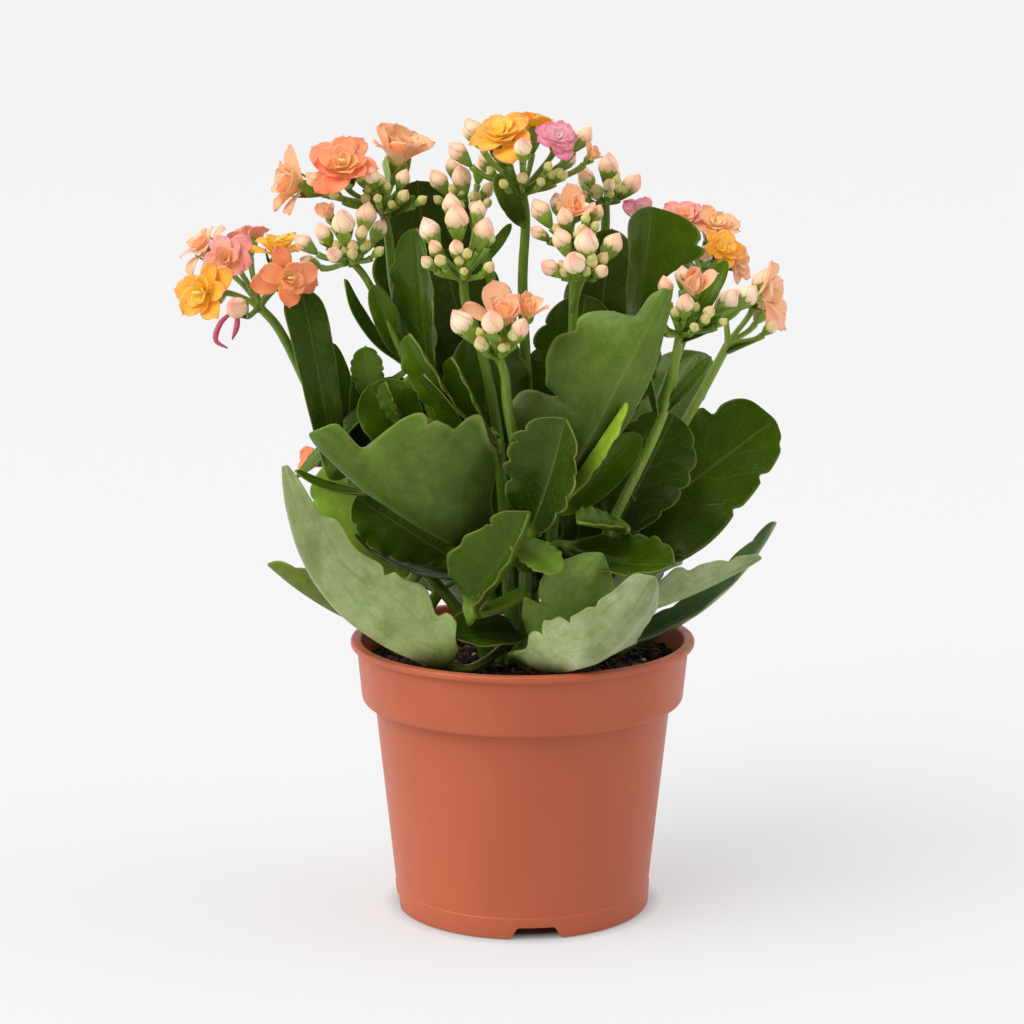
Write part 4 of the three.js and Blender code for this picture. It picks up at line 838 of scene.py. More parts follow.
STEMS = {
    "flower_stem_far_left": {
        "wilted": [
            [(-97, -21, 125), (-101.5, -23, 121), (-103, -25, 115.5), (-99, -25, 112.7)],
            [(-96, -21, 125), (-96, -23.5, 120), (-97.6, -24, 115.5)]],
        "line": [(-15, -4, 8), (-43, 0, 43), (-67, 2, 81), (-82, -4, 114), (-90, -6, 125)],
        "heads": [
            {"hub": (-90, -6, 124), "buds": [(-96, -22, 126, 7.3)]},
            {"hub": (-60, 1, 70), "half": [flower_at((-74, 4, 71), 13, (-60, 20), CORAL, open=0.6)]}],
        "small": [
            leaf_at((-55, 1, 64), (-54, -4, 111), 12, (5, 0), "mid"),
            leaf_at((-55, 2, 64), (-66, 6, 111), 8, (20, 10), "mid"),
            leaf_at((-23, -4, 30), (-58, -16, 47), 14, (-20, 60), "mid", bow=-3)],
    },
    "flower_stem_upper_left": {
        "line": [(-8, -8, 8), (-18, -8, 51), (-37, -4, 103), (-44, 0, 130), (-46, 3, 147), (-48, 4, 157)],
        "branches": [[(-35, -5, 98), (-42, -10, 111), (-52, -12, 133), (-58, -12, 141)]],
        "heads": [
            {
                "hub": (-48, 4, 156),
                "buds": [
                    (-71, -6, 168, 4.9), (-51, -7, 169, 5.2), (-64, -4, 163, 4), (-41, 2, 168, 5),
                    (-49, 12, 166, 4.6)],
            },
            {
                "hub": (-58, -12, 140),
                "buds": [
                    (-60, -20, 154, 7.7), (-53, -10, 156, 7), (-74, -12, 147, 5.6), (-67, -18, 151, 5.5),
                    (-54, -20, 151, 4.2), (-63, -24, 144, 5.2), (-73, -6, 140, 4.9), (-49, -2, 151, 5.6)],
                "half": [flower_at((-66, -8, 157), 9, (-40, 60), SALMON, open=0.4)],
            },
        ],
        "small": [
            leaf_at((-40, -6, 105), (-60, -16, 135), 8, (60, 20), "grey", bow=-5),
            leaf_at((-40, -4, 103), (-78, -9, 66), 7, (0, 60), "grey"),
            leaf_at((-38, -6, 78), (-53, -9, 98), 24, (10, 10), "mid"),
            leaf_at((-42, -9, 108), (-51, -15, 133), 10, (20, 10), "mid"),
            leaf_at((-46, 2, 155), (-37, 0, 162), 4, (0, 10), "mid")],
    },
    "flower_stem_middle_left": {
        "line": [(-4, -14, 10), (-8, -16, 77), (-14, -22, 112), (-19, -24, 127), (-20, -24, 136)],
        "heads": [
            {
                "hub": (-20, -24, 135),
                "buds": [
                    (-31, -25, 152, 7), (-22, -28, 156, 8), (-13, -27, 152, 7), (-24, -18, 160, 6.3),
                    (-29, -33, 147, 4.5), (-22, -35, 147, 4.9), (-15, -17, 158, 5.6)],
            },
        ],
        "small": [leaf_at((-10, -20, 79), (-33, -34, 105), 16, (-60, 20), "mid")],
    },
    "flower_stem_back_left": {
        "line": [(-3, 6, 5), (-6, 8, 91), (-12, 10, 138), (-15, 12, 146), (-18, 12, 156)],
        "heads": [
            {
                "hub": (-18, 12, 155),
                "buds": [
                    (-29, 10, 167, 6.3), (-21, 6, 168, 7), (-12, 8, 164, 4.4), (-24, 20, 171, 5.9),
                    (-15, 20, 170, 5.2)],
            },
        ],
        "small": [leaf_at((-13, 10, 139), (-4, 10, 152), 4, (0, 10), "mid")],
    },
    "flower_stem_top": {
        "line": [(4, -2, 7), (2, -2, 85), (0, 0, 129), (1, 2, 153), (0, 2, 163)],
        "heads": [
            {
                "hub": (0, 2, 162),
                "buds": [
                    (-22, 0, 177, 6.3), (-17, 6, 184, 7), (0, -15, 179, 5.9), (21, 6, 182, 5.9),
                    (16, 10, 174, 4.9), (-13, 12, 173, 4.9), (12, -4, 170, 3.4)],
                "half": [flower_at((24, -1, 176), 8.5, (50, 40), PEACH, open=0.35)],
            },
        ],
        "small": [leaf_at((0, 0, 152), (-9, -10, 170), 8, (0, 10), "mid")],
    },
    "flower_stem_back_right": {
        "line": [(8, 8, 5), (17, 12, 62), (27, 18, 118), (29, 22, 149), (29, 22, 159)],
        "heads": [
            {
                "hub": (29, 22, 158),
                "buds": [
                    (30, 23, 171, 7.3), (38, 20, 165, 6.6), (22, 18, 168, 5.6), (22, 28, 166, 5),
                    (30, 13, 165, 4.4), (32, 33, 168, 5.6)],
            },
        ],
    },
    "flower_stem_centre": {
        "line": [(8, -14, 10), (11, -18, 60), (15, -18, 94), (17, -16, 120), (17, -16, 148)],
        "branches": [[(17, -16, 124), (18, -20, 130), (20, -24, 137)]],
        "heads": [
            {
                "hub": (17, -16, 146),
                "buds": [
                    (6, -14, 158, 6.6), (14, -21, 156, 5.6), (25, -10, 157, 4.6), (5, -20, 151, 4.5),
                    (24, -20, 153, 3.4), (12, -4, 160, 5.6)],
                "half": [flower_at((18, -12, 159), 14, (10, 40), SALMON, open=0.4)],
            },
            {
                "hub": (20, -24, 136),
                "buds": [
                    (13, -26, 149, 6.4), (21, -29, 148, 8), (30, -20, 147, 6.6), (17, -35, 142, 7.4),
                    (9, -29, 140, 5.6), (26, -31, 139, 4.4)],
            },
        ],
        "small": [leaf_at((14, -18, 55), (40, -14, 82), 14, (0, 10), "mid")],
    },
    "flower_stem_front": {
        "line": [(1, -22, 12), (0, -30, 62), (-5, -38, 94), (-6, -40, 105), (-8, -42, 112)],
        "heads": [
            {
                "hub": (-8, -42, 111),
                "buds": [
                    (-20, -44, 123, 7.7), (-10, -53, 124, 7.4), (-1, -50, 122, 5.9), (-14, -51, 117, 4)],
                "half": [
                    flower_at((2, -42, 127), 11, (20, 50), PEACH, open=0.3),
                    flower_at((-7, -38, 127), 24, (0, 55), SALMON, open=0.6)],
            },
        ],
        "small": [
            leaf_at((0, -26, 36), (8, -40, 49), 16, (180, 20), "mid"),
            leaf_at((0, -22, 14), (-24, -40, 17), 22, (0, 60), "dark")],
    },
    "flower_stem_right": {
        "line": [(13, -10, 9), (28, -20, 47), (47, -22, 89), (53, -20, 117)], "pale": True,
        "heads": [
            {
                "hub": (53, -20, 116),
                "buds": [
                    (48, -20, 133, 5.4), (54, -29, 128, 5.9), (54, -12, 136, 5), (69, -18, 128, 7),
                    (76, -12, 129, 7), (62, -27, 125, 4)],
                "half": [flower_at((57, -24, 134), 14, (10, 50), SALMON, open=0.2)],
            },
        ],
        "small": [
            leaf_at((52, -20, 114), (69, -12, 141), 8, (0, 20), "mid"),
            leaf_at((52, -20, 114), (73, -24, 126), 6, (0, 40), "mid"),
            leaf_at((47, -22, 90), (63, -26, 110), 5, (0, 20), "grey"),
            leaf_at((46, -22, 88), (40, -26, 114), 5, (-60, 10), "grey")],
    },
    "flower_stem_far_right": {
        "line": [(17, -2, 7), (36, -4, 50), (58, 0, 87), (71, 2, 111)], "pale": True,
        "heads": [
            {
                "hub": (71, 2, 110), "buds": [(83, 4, 132, 8.2), (84, 10, 122, 5.6), (85, -8, 118, 4.4)],
                "half": [flower_at((87, -2, 128), 25, (62, 5), SALMON, open=0.9)],
            },
        ],
        "small": [leaf_at((70, 2, 108), (80, -5, 113), 3.4, (0, 60), "mid")],
    },
    "flower_stem_right_back": {
        "line": [(12, 6, 5), (24, 10, 33), (45, 18, 79), (59, 24, 117), (64, 26, 132)],
        "heads": [
            {
                "hub": (64, 26, 131), "buds": [(64, 17, 141, 5.6), (56, 36, 144, 4.9), (76, 36, 139, 4.6)],
                "half": [flower_at((42, 24, 155), 15, (-10, 50), ROSE, open=0.8)],
            },
        ],
    },
}

FLOWERS = {
    "flower_left_front": flower_at(
        (-109, -20, 131), 24, (-30, 5), ORANGE, stem="flower_stem_far_left", count=15, pistil=True),
    "flower_left_upper": flower_at((-101, -12, 142), 19, (-10, 15), PINK, stem="flower_stem_far_left"),
    "flower_left_outer": flower_at((-112, 2, 147), 21, (-70, 45), SALMON, stem="flower_stem_far_left"),
    "flower_left_inner": flower_at(
        (-78, -22, 136), 23, (25, 10), CORAL, stem="flower_stem_far_left", count=13, pistil=True),
    "flower_left_yellow": flower_at((-84, -2, 147), 21, (0, 80), YELLOW, stem="flower_stem_far_left"),
    "flower_left_back": flower_at((-95, 12, 149), 16, (-170, 60), PINK, stem="flower_stem_far_left"),
    "flower_upper_left": flower_at(
        (-61, -8, 174), 24, (-5, 38), CORAL, stem="flower_stem_upper_left", count=20, pistil=True),
    "flower_upper_left_side": flower_at(
        (-81, 4, 167), 22, (-68, 20), PEACH, stem="flower_stem_upper_left", open=0.62),
    "flower_upper_left_back": flower_at(
        (-42, 14, 178), 24, (35, 62), PEACH, stem="flower_stem_upper_left", open=0.5, count=20),
    "flower_top_orange": flower_at((-8, -8, 185), 24, (-15, 55), ORANGE, stem="flower_stem_top", count=20),
    "flower_top_back": flower_at((4, 12, 188), 20, (160, 78), ORANGE, stem="flower_stem_top"),
    "flower_top_pink": flower_at((12, -8, 183), 16, (10, 35), ROSE, stem="flower_stem_top", count=28),
    "flower_right_coral": flower_at((57, 25, 155), 17, (-10, 45), PINK, stem="flower_stem_right_back"),
    "flower_right_peach": flower_at((68, 24, 152), 18, (20, 45), PEACH, stem="flower_stem_right_back"),
    "flower_right_yellow": flower_at((70, 14, 144), 17, (20, 30), ORANGE, stem="flower_stem_right_back"),
    "flower_right_low": flower_at((77, 20, 138), 16, (50, 5), SALMON, stem="flower_stem_right_back"),
}

# Upper and under colours of the leaf blades, from the darkest to the palest.
TONES = {
    # partly painted shade: the dark tone is a deep green darkened further, for the leaves deep inside the
    # plant where the shade falls
    "dark": ("#374e08", "#4c5e14"),
    "deep": ("#425c06", "#586c1a"),
    "mid": ("#4e6e0a", "#647a20"),
    "grey": ("#4a6a12", "#5c762a"),
    # painted light: this tone is a fresh green lightened further, so that a leaf turned away from the light
    # still looks lit
    "lit_fresh": ("#6f8f2c", "#8ba44c"),
    "bloomed": ("#5d7c2c", "#84925e"),
    "pale": ("#5d7c2c", "#96a474"),
    "frosted": ("#5b7448", "#7f9166"),
    "lime": ("#8cb428", "#93b62e"),
    "bright": ("#5f8f10", "#7f9f2a"),
}

LEAVES = {
    "leaf_right_upper": leaf_at(
        (27, -2, 39), (88, 6, 84), 46, (-5, 12), "deep", fold=8,
        edge_minus=(
            (0, 2), (0.1, 8), (0.3, 14), (0.45, 17), (0.59, 17), (0.71, 19), (0.77, 18.5), (0.79, 14.5),
            (0.85, 15.5), (0.92, 14), (0.97, 10), (1, 2)),
        edge_plus=(
            (0, 2), (0.08, 5), (0.14, 10), (0.24, 19), (0.36, 21), (0.48, 20.5), (0.58, 18.5), (0.6, 16.5),
            (0.65, 17.5), (0.77, 15), (0.79, 12.5), (0.84, 13.5), (0.93, 10.5), (0.95, 8), (0.98, 6),
            (1, 2)),
    ),
    "leaf_centre": leaf_at(
        (12, -34, 64), (47, -42, 134), 46, (170, 20), "grey", bow=-4, fold=24, foot=0.35,
        edge_minus=((0, 2), (0.2, 4), (0.35, 9), (0.53, 10), (0.7, 9), (0.85, 6), (0.95, 4), (1, 1)),
        edge_plus=(
            (0, 3), (0.08, 23), (0.18, 29.5), (0.28, 29.5), (0.34, 25), (0.37, 16), (0.39, 22), (0.44, 24),
            (0.5, 26.5), (0.6, 26.5), (0.655, 23), (0.67, 21.5), (0.72, 22.5), (0.77, 20), (0.82, 13),
            (0.84, 6), (0.88, 5), (0.95, 4), (1, 1)),
    ),
    "leaf_front_scoop": leaf_at(
        (-8, -26, 40), (-70, -46, 87), 58, (150, 35), "grey", bow=-6, fold=45, foot=0.25,
        edge_minus=(
            (0, 3), (0.06, 10), (0.18, 19), (0.24, 29), (0.3, 34.5), (0.36, 38), (0.42, 40.5), (0.48, 41.5),
            (0.52, 40.5), (0.545, 38), (0.557, 33.5), (0.575, 34), (0.61, 35), (0.65, 34.5), (0.672, 33),
            (0.68, 30.5), (0.69, 31.5), (0.73, 31), (0.76, 28.5), (0.785, 24), (0.797, 18), (0.807, 10),
            (0.83, 9), (0.88, 9.5), (0.93, 9.5), (0.97, 8), (1, 1)),
    ),
    "leaf_front_low_left": leaf_at(
        (-24, -33, 5), (-80, -34, 74), 50, (150, 35), "bloomed", bow=-20, fold=42, foot=1.95,
        edge_minus=(
            (0, 3), (0.025, 4), (0.04, 11), (0.055, 14), (0.06, 13), (0.07, 17), (0.09, 19.2),
            (0.125, 19.6), (0.135, 18.5), (0.145, 16.8), (0.17, 19), (0.23, 22.5), (0.3, 23.5),
            (0.38, 23.5), (0.435, 22.5), (0.45, 19), (0.49, 20), (0.56, 19), (0.68, 16.5), (0.78, 14),
            (0.8, 10.5), (0.86, 9), (0.94, 5.5), (1, 1.5)),
    ),
    "leaf_front_low_centre": leaf_at(
        (-1, -34, 9), (43, -62, 42), 46, (190, 40), "pale", bow=-17, fold=40, foot=1.6,
        edge_plus=(
            (0, 3), (0.03, 4.5), (0.08, 5.5), (0.1, 7), (0.14, 12), (0.2, 15), (0.245, 14.5), (0.26, 12.5),
            (0.3, 16.5), (0.38, 19), (0.46, 19), (0.53, 17.5), (0.555, 14), (0.6, 15.5), (0.68, 15.5),
            (0.74, 14), (0.755, 12), (0.8, 12), (0.86, 10.5), (0.93, 9), (0.98, 6.5), (1, 1)),
    ),
    "leaf_right_level": leaf_at(
        (27, -22, 19), (80, -34, 43), 36, (200, 50), "pale", bow=-3, fold=42, foot=1.9,
        edge_plus=(
            (0, 3), (0.2, 7), (0.34, 8), (0.42, 9), (0.52, 10.5), (0.58, 10), (0.61, 8), (0.68, 9),
            (0.76, 7.5), (0.81, 6), (0.84, 4.5), (0.9, 5), (0.98, 2.5), (1, 1)),
    ),
    "leaf_right_narrow": leaf_at(
        (32, -8, 5), (87, -12, 51), 15, (-60, 45), "frosted", bow=-9, fold=34, widest=0.45),
    "leaf_front_low_inner": leaf_at(
        (8, -26, 9), (26, -42, 46), 36, (175, 30), "lit_fresh", bow=-4, fold=20, foot=1.4,
        edge_minus=((0, 3), (0.3, 12), (0.5, 14), (0.7, 12), (0.86, 7.5), (0.96, 3), (1, 1)),
        edge_plus=(
            (0, 3), (0.12, 12), (0.25, 15), (0.36, 16), (0.395, 10.5), (0.46, 12.5), (0.55, 14), (0.68, 14),
            (0.715, 11.5), (0.78, 12), (0.84, 10), (0.92, 7), (0.97, 4), (1, 1)),
    ),
    "leaf_upper_right": leaf_at(
        (34, 4, 85), (44, 6, 158), 44, (25, 5), "deep", bow=2, fold=34,
        edge_minus=(
            (0, 2), (0.3, 6), (0.64, 9), (0.78, 10.5), (0.9, 11.5), (0.94, 10.5), (0.98, 7), (1, 2)),
        edge_plus=(
            (0, 2), (0.3, 2), (0.5, 3), (0.58, 5), (0.68, 8), (0.74, 13), (0.8, 19), (0.835, 19.5),
            (0.85, 17), (0.88, 18.5), (0.92, 17.5), (0.96, 13.5), (0.985, 8), (1, 2)),
    ),
    "leaf_left_strap": leaf_at(
        (-65, -10, 70), (-75, -13, 131), 17, (15, 10), "dark", bow=2, fold=14, foot=0.9,
        edge_minus=((0, 3), (0.2, 5), (0.5, 6.5), (0.8, 7.5), (0.93, 7.5), (1, 5)),
        edge_plus=((0, 3), (0.2, 5), (0.5, 6.5), (0.8, 7), (0.93, 6), (1, 2.5))),
    "leaf_left_behind_strap": leaf_at((-62, 6, 64), (-84, 4, 114), 28, (100, 20), "grey", bow=2),
    "leaf_back_upper_left": leaf_at((-29, 22, 89), (-37, 26, 166), 40, (10, 5), "dark", fold=12),
    "leaf_upper_notched": leaf_at((-31, -2, 90), (-36, -14, 152), 24, (-45, 5), "deep", fold=28),
    "leaf_upper_inner": leaf_at((-16, 10, 91), (-28, 14, 143), 36, (15, 5), "dark", fold=14),
    "leaf_young_left": leaf_at((-16, -22, 81), (-38, -30, 118), 22, (-60, 20), "mid", fold=30),
    "leaf_young_right": leaf_at((-9, -22, 78), (-24, -28, 110), 18, (-60, 20), "mid", fold=30),
    "leaf_inner_right": leaf_at((31, -12, 46), (52, -9, 88), 31, (0, 10), "dark", fold=10),
    "leaf_lime": leaf_at((14, -40, 64), (34, -47, 97), 14, (80, 20), "lime", fold=30),
    "leaf_centre_small": leaf_at(
        (2, -34, 50), (14, -48, 92), 34, (-25, 25), "dark", bow=-2, fold=34, lobes=4, depth=0.22),
    "leaf_glossy_front": leaf_at(
        (-18, -38, 25), (2, -54, 62), 34, (-48, 25), "deep", bow=-4, fold=52, foot=0.8,
        edge_minus=(
            (0, 3), (0.1, 14), (0.25, 18), (0.5, 17), (0.7, 13), (0.73, 11), (0.8, 12), (0.9, 9), (1, 1)),
        edge_plus=(
            (0, 3), (0.15, 8), (0.35, 10), (0.6, 11), (0.75, 10), (0.78, 8.5), (0.84, 9), (0.94, 6),
            (1, 1)),
    ),
    "leaf_dark_left": leaf_at((-43, 2, 70), (-67, 6, 92), 28, (20, 40), "dark", fold=10),
    "leaf_bright_left": leaf_at((-42, 12, 26), (-68, 16, 68), 38, (180, 20), "bright", fold=10),
    "leaf_shiny_left": leaf_at((-23, -8, 36), (-58, -4, 58), 30, (-20, 50), "deep", fold=10, lobes=5),
    "leaf_left_small": leaf_at((-46, 6, 8), (-89, 0, 34), 24, (150, 60), "mid", bow=-3, fold=28),
    "leaf_edge_on": leaf_at((14, -24, 45), (50, -46, 43), 24, (-20, 60), "deep", bow=-4, fold=30),
    "leaf_behind_centre": leaf_at((24, 6, 91), (31, 12, 150), 28, (-20, 5), "dark", fold=16),
    "leaf_back_left": leaf_at((-18, 18, 42), (-58, 58, 82), 48, (40, 50), "deep", bow=-6, fold=28),
    "leaf_back_low_left": leaf_at((-12, 18, 12), (-48, 66, 38), 46, (30, 65), "mid", bow=-6, fold=24),
    "leaf_back_middle": leaf_at((4, 20, 52), (8, 72, 96), 48, (-5, 50), "deep", bow=-6, fold=28),
    "leaf_back_low_right": leaf_at((16, 16, 14), (58, 58, 34), 46, (-45, 65), "mid", bow=-6, fold=24),
    "leaf_back_right": leaf_at((24, 22, 56), (66, 56, 102), 46, (-45, 45), "deep", bow=-6, fold=28),
}


# Young leaves between the stems; the dark tone that most of them take is painted shade deep inside the plant.
INNER_LEAVES = [
    leaf_at((-14, -4, 50), (-12, -8, 118), 34, (10, 5), "dark"),
    leaf_at((12, 2, 60), (22, 4, 128), 34, (-10, 5), "dark"),
    leaf_at((-2, -4, 20), (-8, -10, 78), 42, (0, 10), "dark"),
    leaf_at((14, -4, 20), (24, -10, 72), 42, (10, 10), "dark"),
    leaf_at((-34, 0, 60), (-48, -4, 100), 26, (10, 15), "mid"),
    leaf_at((28, 6, 80), (40, 4, 120), 26, (0, 5), "deep"),
    leaf_at((-4, -42, 50), (12, -52, 41), 15, (10, 60), "lit_fresh", fold=20),
    leaf_at((34, -30, 52), (18, -50, 58), 14, (-10, 50), "mid", fold=35),
    leaf_at(
        (-54, -10, 61), (-78, -12, 69), 5, (0, 60), "mid", bow=-3, fold=30, lobes=1, depth=0.02, stalk=1.0,
        thick=1.5),
    leaf_at((-52, -6, 92), (-54, -6, 111), 12, (-10, 20), "mid", fold=15),
    leaf_at((-41, -14, 85), (-47, -14, 100), 11, (-60, 20), "mid", fold=35),
]


def nearest_on_stems(point):
    """The closest point of any stem or branch to a place, for a leaf stalk to leave from."""
    lines = [line for spec in STEMS.values() for line in [spec["line"], *spec.get("branches", [])]]
    points = np.vstack([smooth_path([on_plant(p) for p in line], 50) for line in lines])
    return points[np.argmin(np.linalg.norm(points - point, axis=1))]


def young_buds(rng, head, count=9):
    """Small green buds low on the front of a head, at two thirds of its buds' mean reach."""
    hub = np.array(head["hub"], float)
    reach = np.mean([np.linalg.norm(np.array(row[:3]) - hub) for row in head["buds"]])
    turns = np.linspace(-70, 70, count) + rng.uniform(-12, 12, count)
    spots = [facing(turn, rng.uniform(15, 60)) for turn in turns]
    return [(*(hub + spot * reach * rng.uniform(0.5, 0.85)), rng.uniform(2.6, 4.2)) for spot in spots]


def leaf_row(row, small=False):
    """A leaf's row with its tone's colours and the place on a stem where its stalk starts."""
    upper, under = TONES[row["tone"]]
    made = {"upper": upper, "under": under, "root": nearest_on_stems(on_plant(row["base"])), **row}
    if small:
        made.update({"lobes": 2, "depth": 0.05, "thick": 1.3, "stalk": 0.8, "widest": 0.55})
    return made


# ---- the add-on --------------------------------------------------------------------------------

class KalanchoePotSizes(bpy.types.PropertyGroup):
    """Sizes of the pot and its soil."""
    wall: FloatProperty(name="Wall", description="Thickness of the pot's wall", default=0.0016, unit="LENGTH")
    colour: FloatVectorProperty(name="Plastic", description="Colour of the pot's plastic", subtype="COLOR",
                                default=tuple(linear("#bc5f3e")))
    segments: IntProperty(name="Segments", description="Flat strips round the pot", default=288, min=48)
    crumbs: IntProperty(name="Crumbs", description="Loose crumbs and flakes on the soil", default=900, min=0)
    fibres: IntProperty(name="Fibres", description="Pale fibres on the soil", default=170, min=0)


class KalanchoePlantSizes(bpy.types.PropertyGroup):
    """Sizes that all stems and flowers share."""
    petals: IntProperty(name="Petals", description="Petals in one open double flower", default=17, min=5)
    half_petals: IntProperty(name="Half-open petals", description="Petals in a half-open flower", default=9,
                             min=4)
    stem: FloatProperty(name="Stem radius", description="Radius of a flowering stem at the soil, in mm",
                        default=2.6)
    stem_top: FloatProperty(name="Stem top radius", description="Radius under a flower head, in mm",
                            default=1.5)
    pedicel: FloatProperty(name="Pedicel radius", description="Radius of the stalk under a bud, in mm",
                           default=0.95)
    low_colour: FloatVectorProperty(
        name="Stem foot", description="Colour of the stems at the soil", subtype="COLOR",
        default=tuple(linear("#4a6814")))
    high_colour: FloatVectorProperty(
        name="Stem top", description="Colour of the stems at the heads", subtype="COLOR",
        default=tuple(linear("#72901f")))
    pale_low_colour: FloatVectorProperty(
        name="Pale stem foot", description="Colour of a sunlit stem at the soil", subtype="COLOR",
        default=tuple(linear("#64801e")))
    pale_high_colour: FloatVectorProperty(
        name="Pale stem top", description="Colour of a sunlit stem at its head", subtype="COLOR",
        default=tuple(linear("#8ca636")))


class KALANCHOE_OT_pot(bpy.types.Operator):
    """Round nursery pot with lip, collar, foot band and notches"""
    bl_idname = "kalanchoe.pot"
    bl_label = "Pot"

    def execute(self, context):
        sizes = context.scene.kalanchoe_pot
        make_pot(sizes).build("nursery_pot", pot_material(sizes.colour), "terracotta_plastic", ["pot"])
        return {"FINISHED"}


class KALANCHOE_OT_soil(bpy.types.Operator):
    """Peat bed with crumbs, fibres and perlite"""
    bl_idname = "kalanchoe.soil"
    bl_label = "Soil"

    def execute(self, context):
        rng = np.random.default_rng(11)
        sizes = context.scene.kalanchoe_pot
        material = peat_material()
        make_soil(rng).build("peat_bed", material, "peat_soil", ["soil"])
        make_grit(rng, sizes).build("peat_crumbs", material, "peat_soil")
        return {"FINISHED"}


class KALANCHOE_OT_stems(bpy.types.Operator):
    """Flowering stems with pedicels and calyces, and their buds, half-open flowers and bracts"""
    bl_idname = "kalanchoe.stems"
    bl_label = "Stems and buds"

    def execute(self, context):
        sizes = context.scene.kalanchoe_plant
        skin, petals, leaf = stem_material(), petal_material("bud_petals", 0.45), leaf_material()
        rng = np.random.default_rng(5)
        for name, spec in STEMS.items():
            green, buds, bracts = Surface(), Surface(), Surface()
            low, high = sizes.low_colour, sizes.high_colour
            if "pale" in spec:
                low, high = sizes.pale_low_colour, sizes.pale_high_colour
            line = [on_plant(p) for p in spec["line"]]
            line.insert(0, line[0] - UP * 20 * MM)
            add_stem(green, line, sizes.stem, sizes.stem_top, low, high)
            for branch in spec.get("branches", []):
                add_stem(green, [on_plant(p) for p in branch], sizes.stem_top, sizes.stem_top * 0.8, high,
                         high, 24)
            for head in spec["heads"]:
                hub = on_plant(head["hub"])
                seconds = young_buds(rng, head) if len(head.get("buds", [])) > 3 else []
                for row in head.get("buds", []) + seconds:
                    centre, size = on_plant(row[:3]), row[3] * MM
                    axis = bud_axis(hub, centre)
                    foot = centre - axis * size * 1.05
                    tone = rng.choice(["#7d9a32", "#8aa53a", "#73902c"])
                    add_pedicel(green, hub, foot, axis, sizes.pedicel, tone)
                    add_calyx(green, foot, axis, size, tone)
                    add_bud(buds, rng, hub, row)
                flowers = [f for f in FLOWERS.values() if f["stem"] == name and head is spec["heads"][0]]
                for row in head.get("half", []) + flowers:
                    axis = facing(*row["faces"])
                    size = row["width"] * MM
                    foot = on_plant(row["at"]) - axis * 0.62 * size
                    tone = rng.choice(["#7d9a32", "#8aa53a", "#73902c"])
                    add_pedicel(green, hub, foot, axis, sizes.pedicel, tone)
                    add_calyx(green, foot, axis, 0.42 * size, tone)
                for row in head.get("half", []):
                    add_petals(buds, rng, row, sizes.half_petals)
            for line in spec.get("wilted", []):
                path = smooth_path([on_plant(p) for p in line], 14)
                shape = (14, 10, 3)
                tube(buds, path, np.sin(np.linspace(0.4, 2.9, 14)) * 1.0 * MM, sides=10,
                     petal=np.zeros(shape),
                     petal_colour=np.broadcast_to(linear("#b9506a"), shape))
            green.build(name.replace("flower_stem", "stem"), skin, "stem_green", [name])
            buds.build(name.replace("flower_stem", "buds"), petals, "petal_coral")
            if "small" in spec:
                for row in spec["small"]:
                    add_leaf(bracts, rng, leaf_row(row, small=True), rows=40, sides=24)
                bracts.build(name.replace("flower_stem", "bracts"), leaf, "leaf_green")
        return {"FINISHED"}


class KALANCHOE_OT_flowers(bpy.types.Operator):
    """Open double flowers"""
    bl_idname = "kalanchoe.flowers"
    bl_label = "Open flowers"

    def execute(self, context):
        sizes = context.scene.kalanchoe_plant
        petals = petal_material("open_petals", 0.55)
        for k, (name, row) in enumerate(FLOWERS.items()):
            surface = Surface()
            add_petals(surface, np.random.default_rng(100 + k), row, row.get("count", sizes.petals), rings=11)
            slot = {ORANGE: "petal_orange", PINK: "petal_pink", ROSE: "petal_pink",
                    YELLOW: "petal_yellow"}.get(row["colours"], "petal_coral")
            surface.build(name.replace("flower_", "bloom_"), petals, slot, [name])
        return {"FINISHED"}


class KALANCHOE_OT_leaves(bpy.types.Operator):
    """Thick lobed leaves"""
    bl_idname = "kalanchoe.leaves"
    bl_label = "Leaves"

    def execute(self, context):
        material = leaf_material()
        for k, (name, row) in enumerate(LEAVES.items()):
            surface = Surface()
            add_leaf(surface, np.random.default_rng(300 + k), leaf_row(row))
            slot = "leaf_pale_green" if row["tone"] in ("pale", "bloomed", "lit_fresh") else "leaf_green"
            surface.build(name.replace("leaf_", "blade_"), material, slot, [name])
        inner = Surface()
        for row in INNER_LEAVES:
            add_leaf(inner, np.random.default_rng(7), leaf_row(row))
        inner.build("inner_leaves", material, "leaf_green")
        return {"FINISHED"}


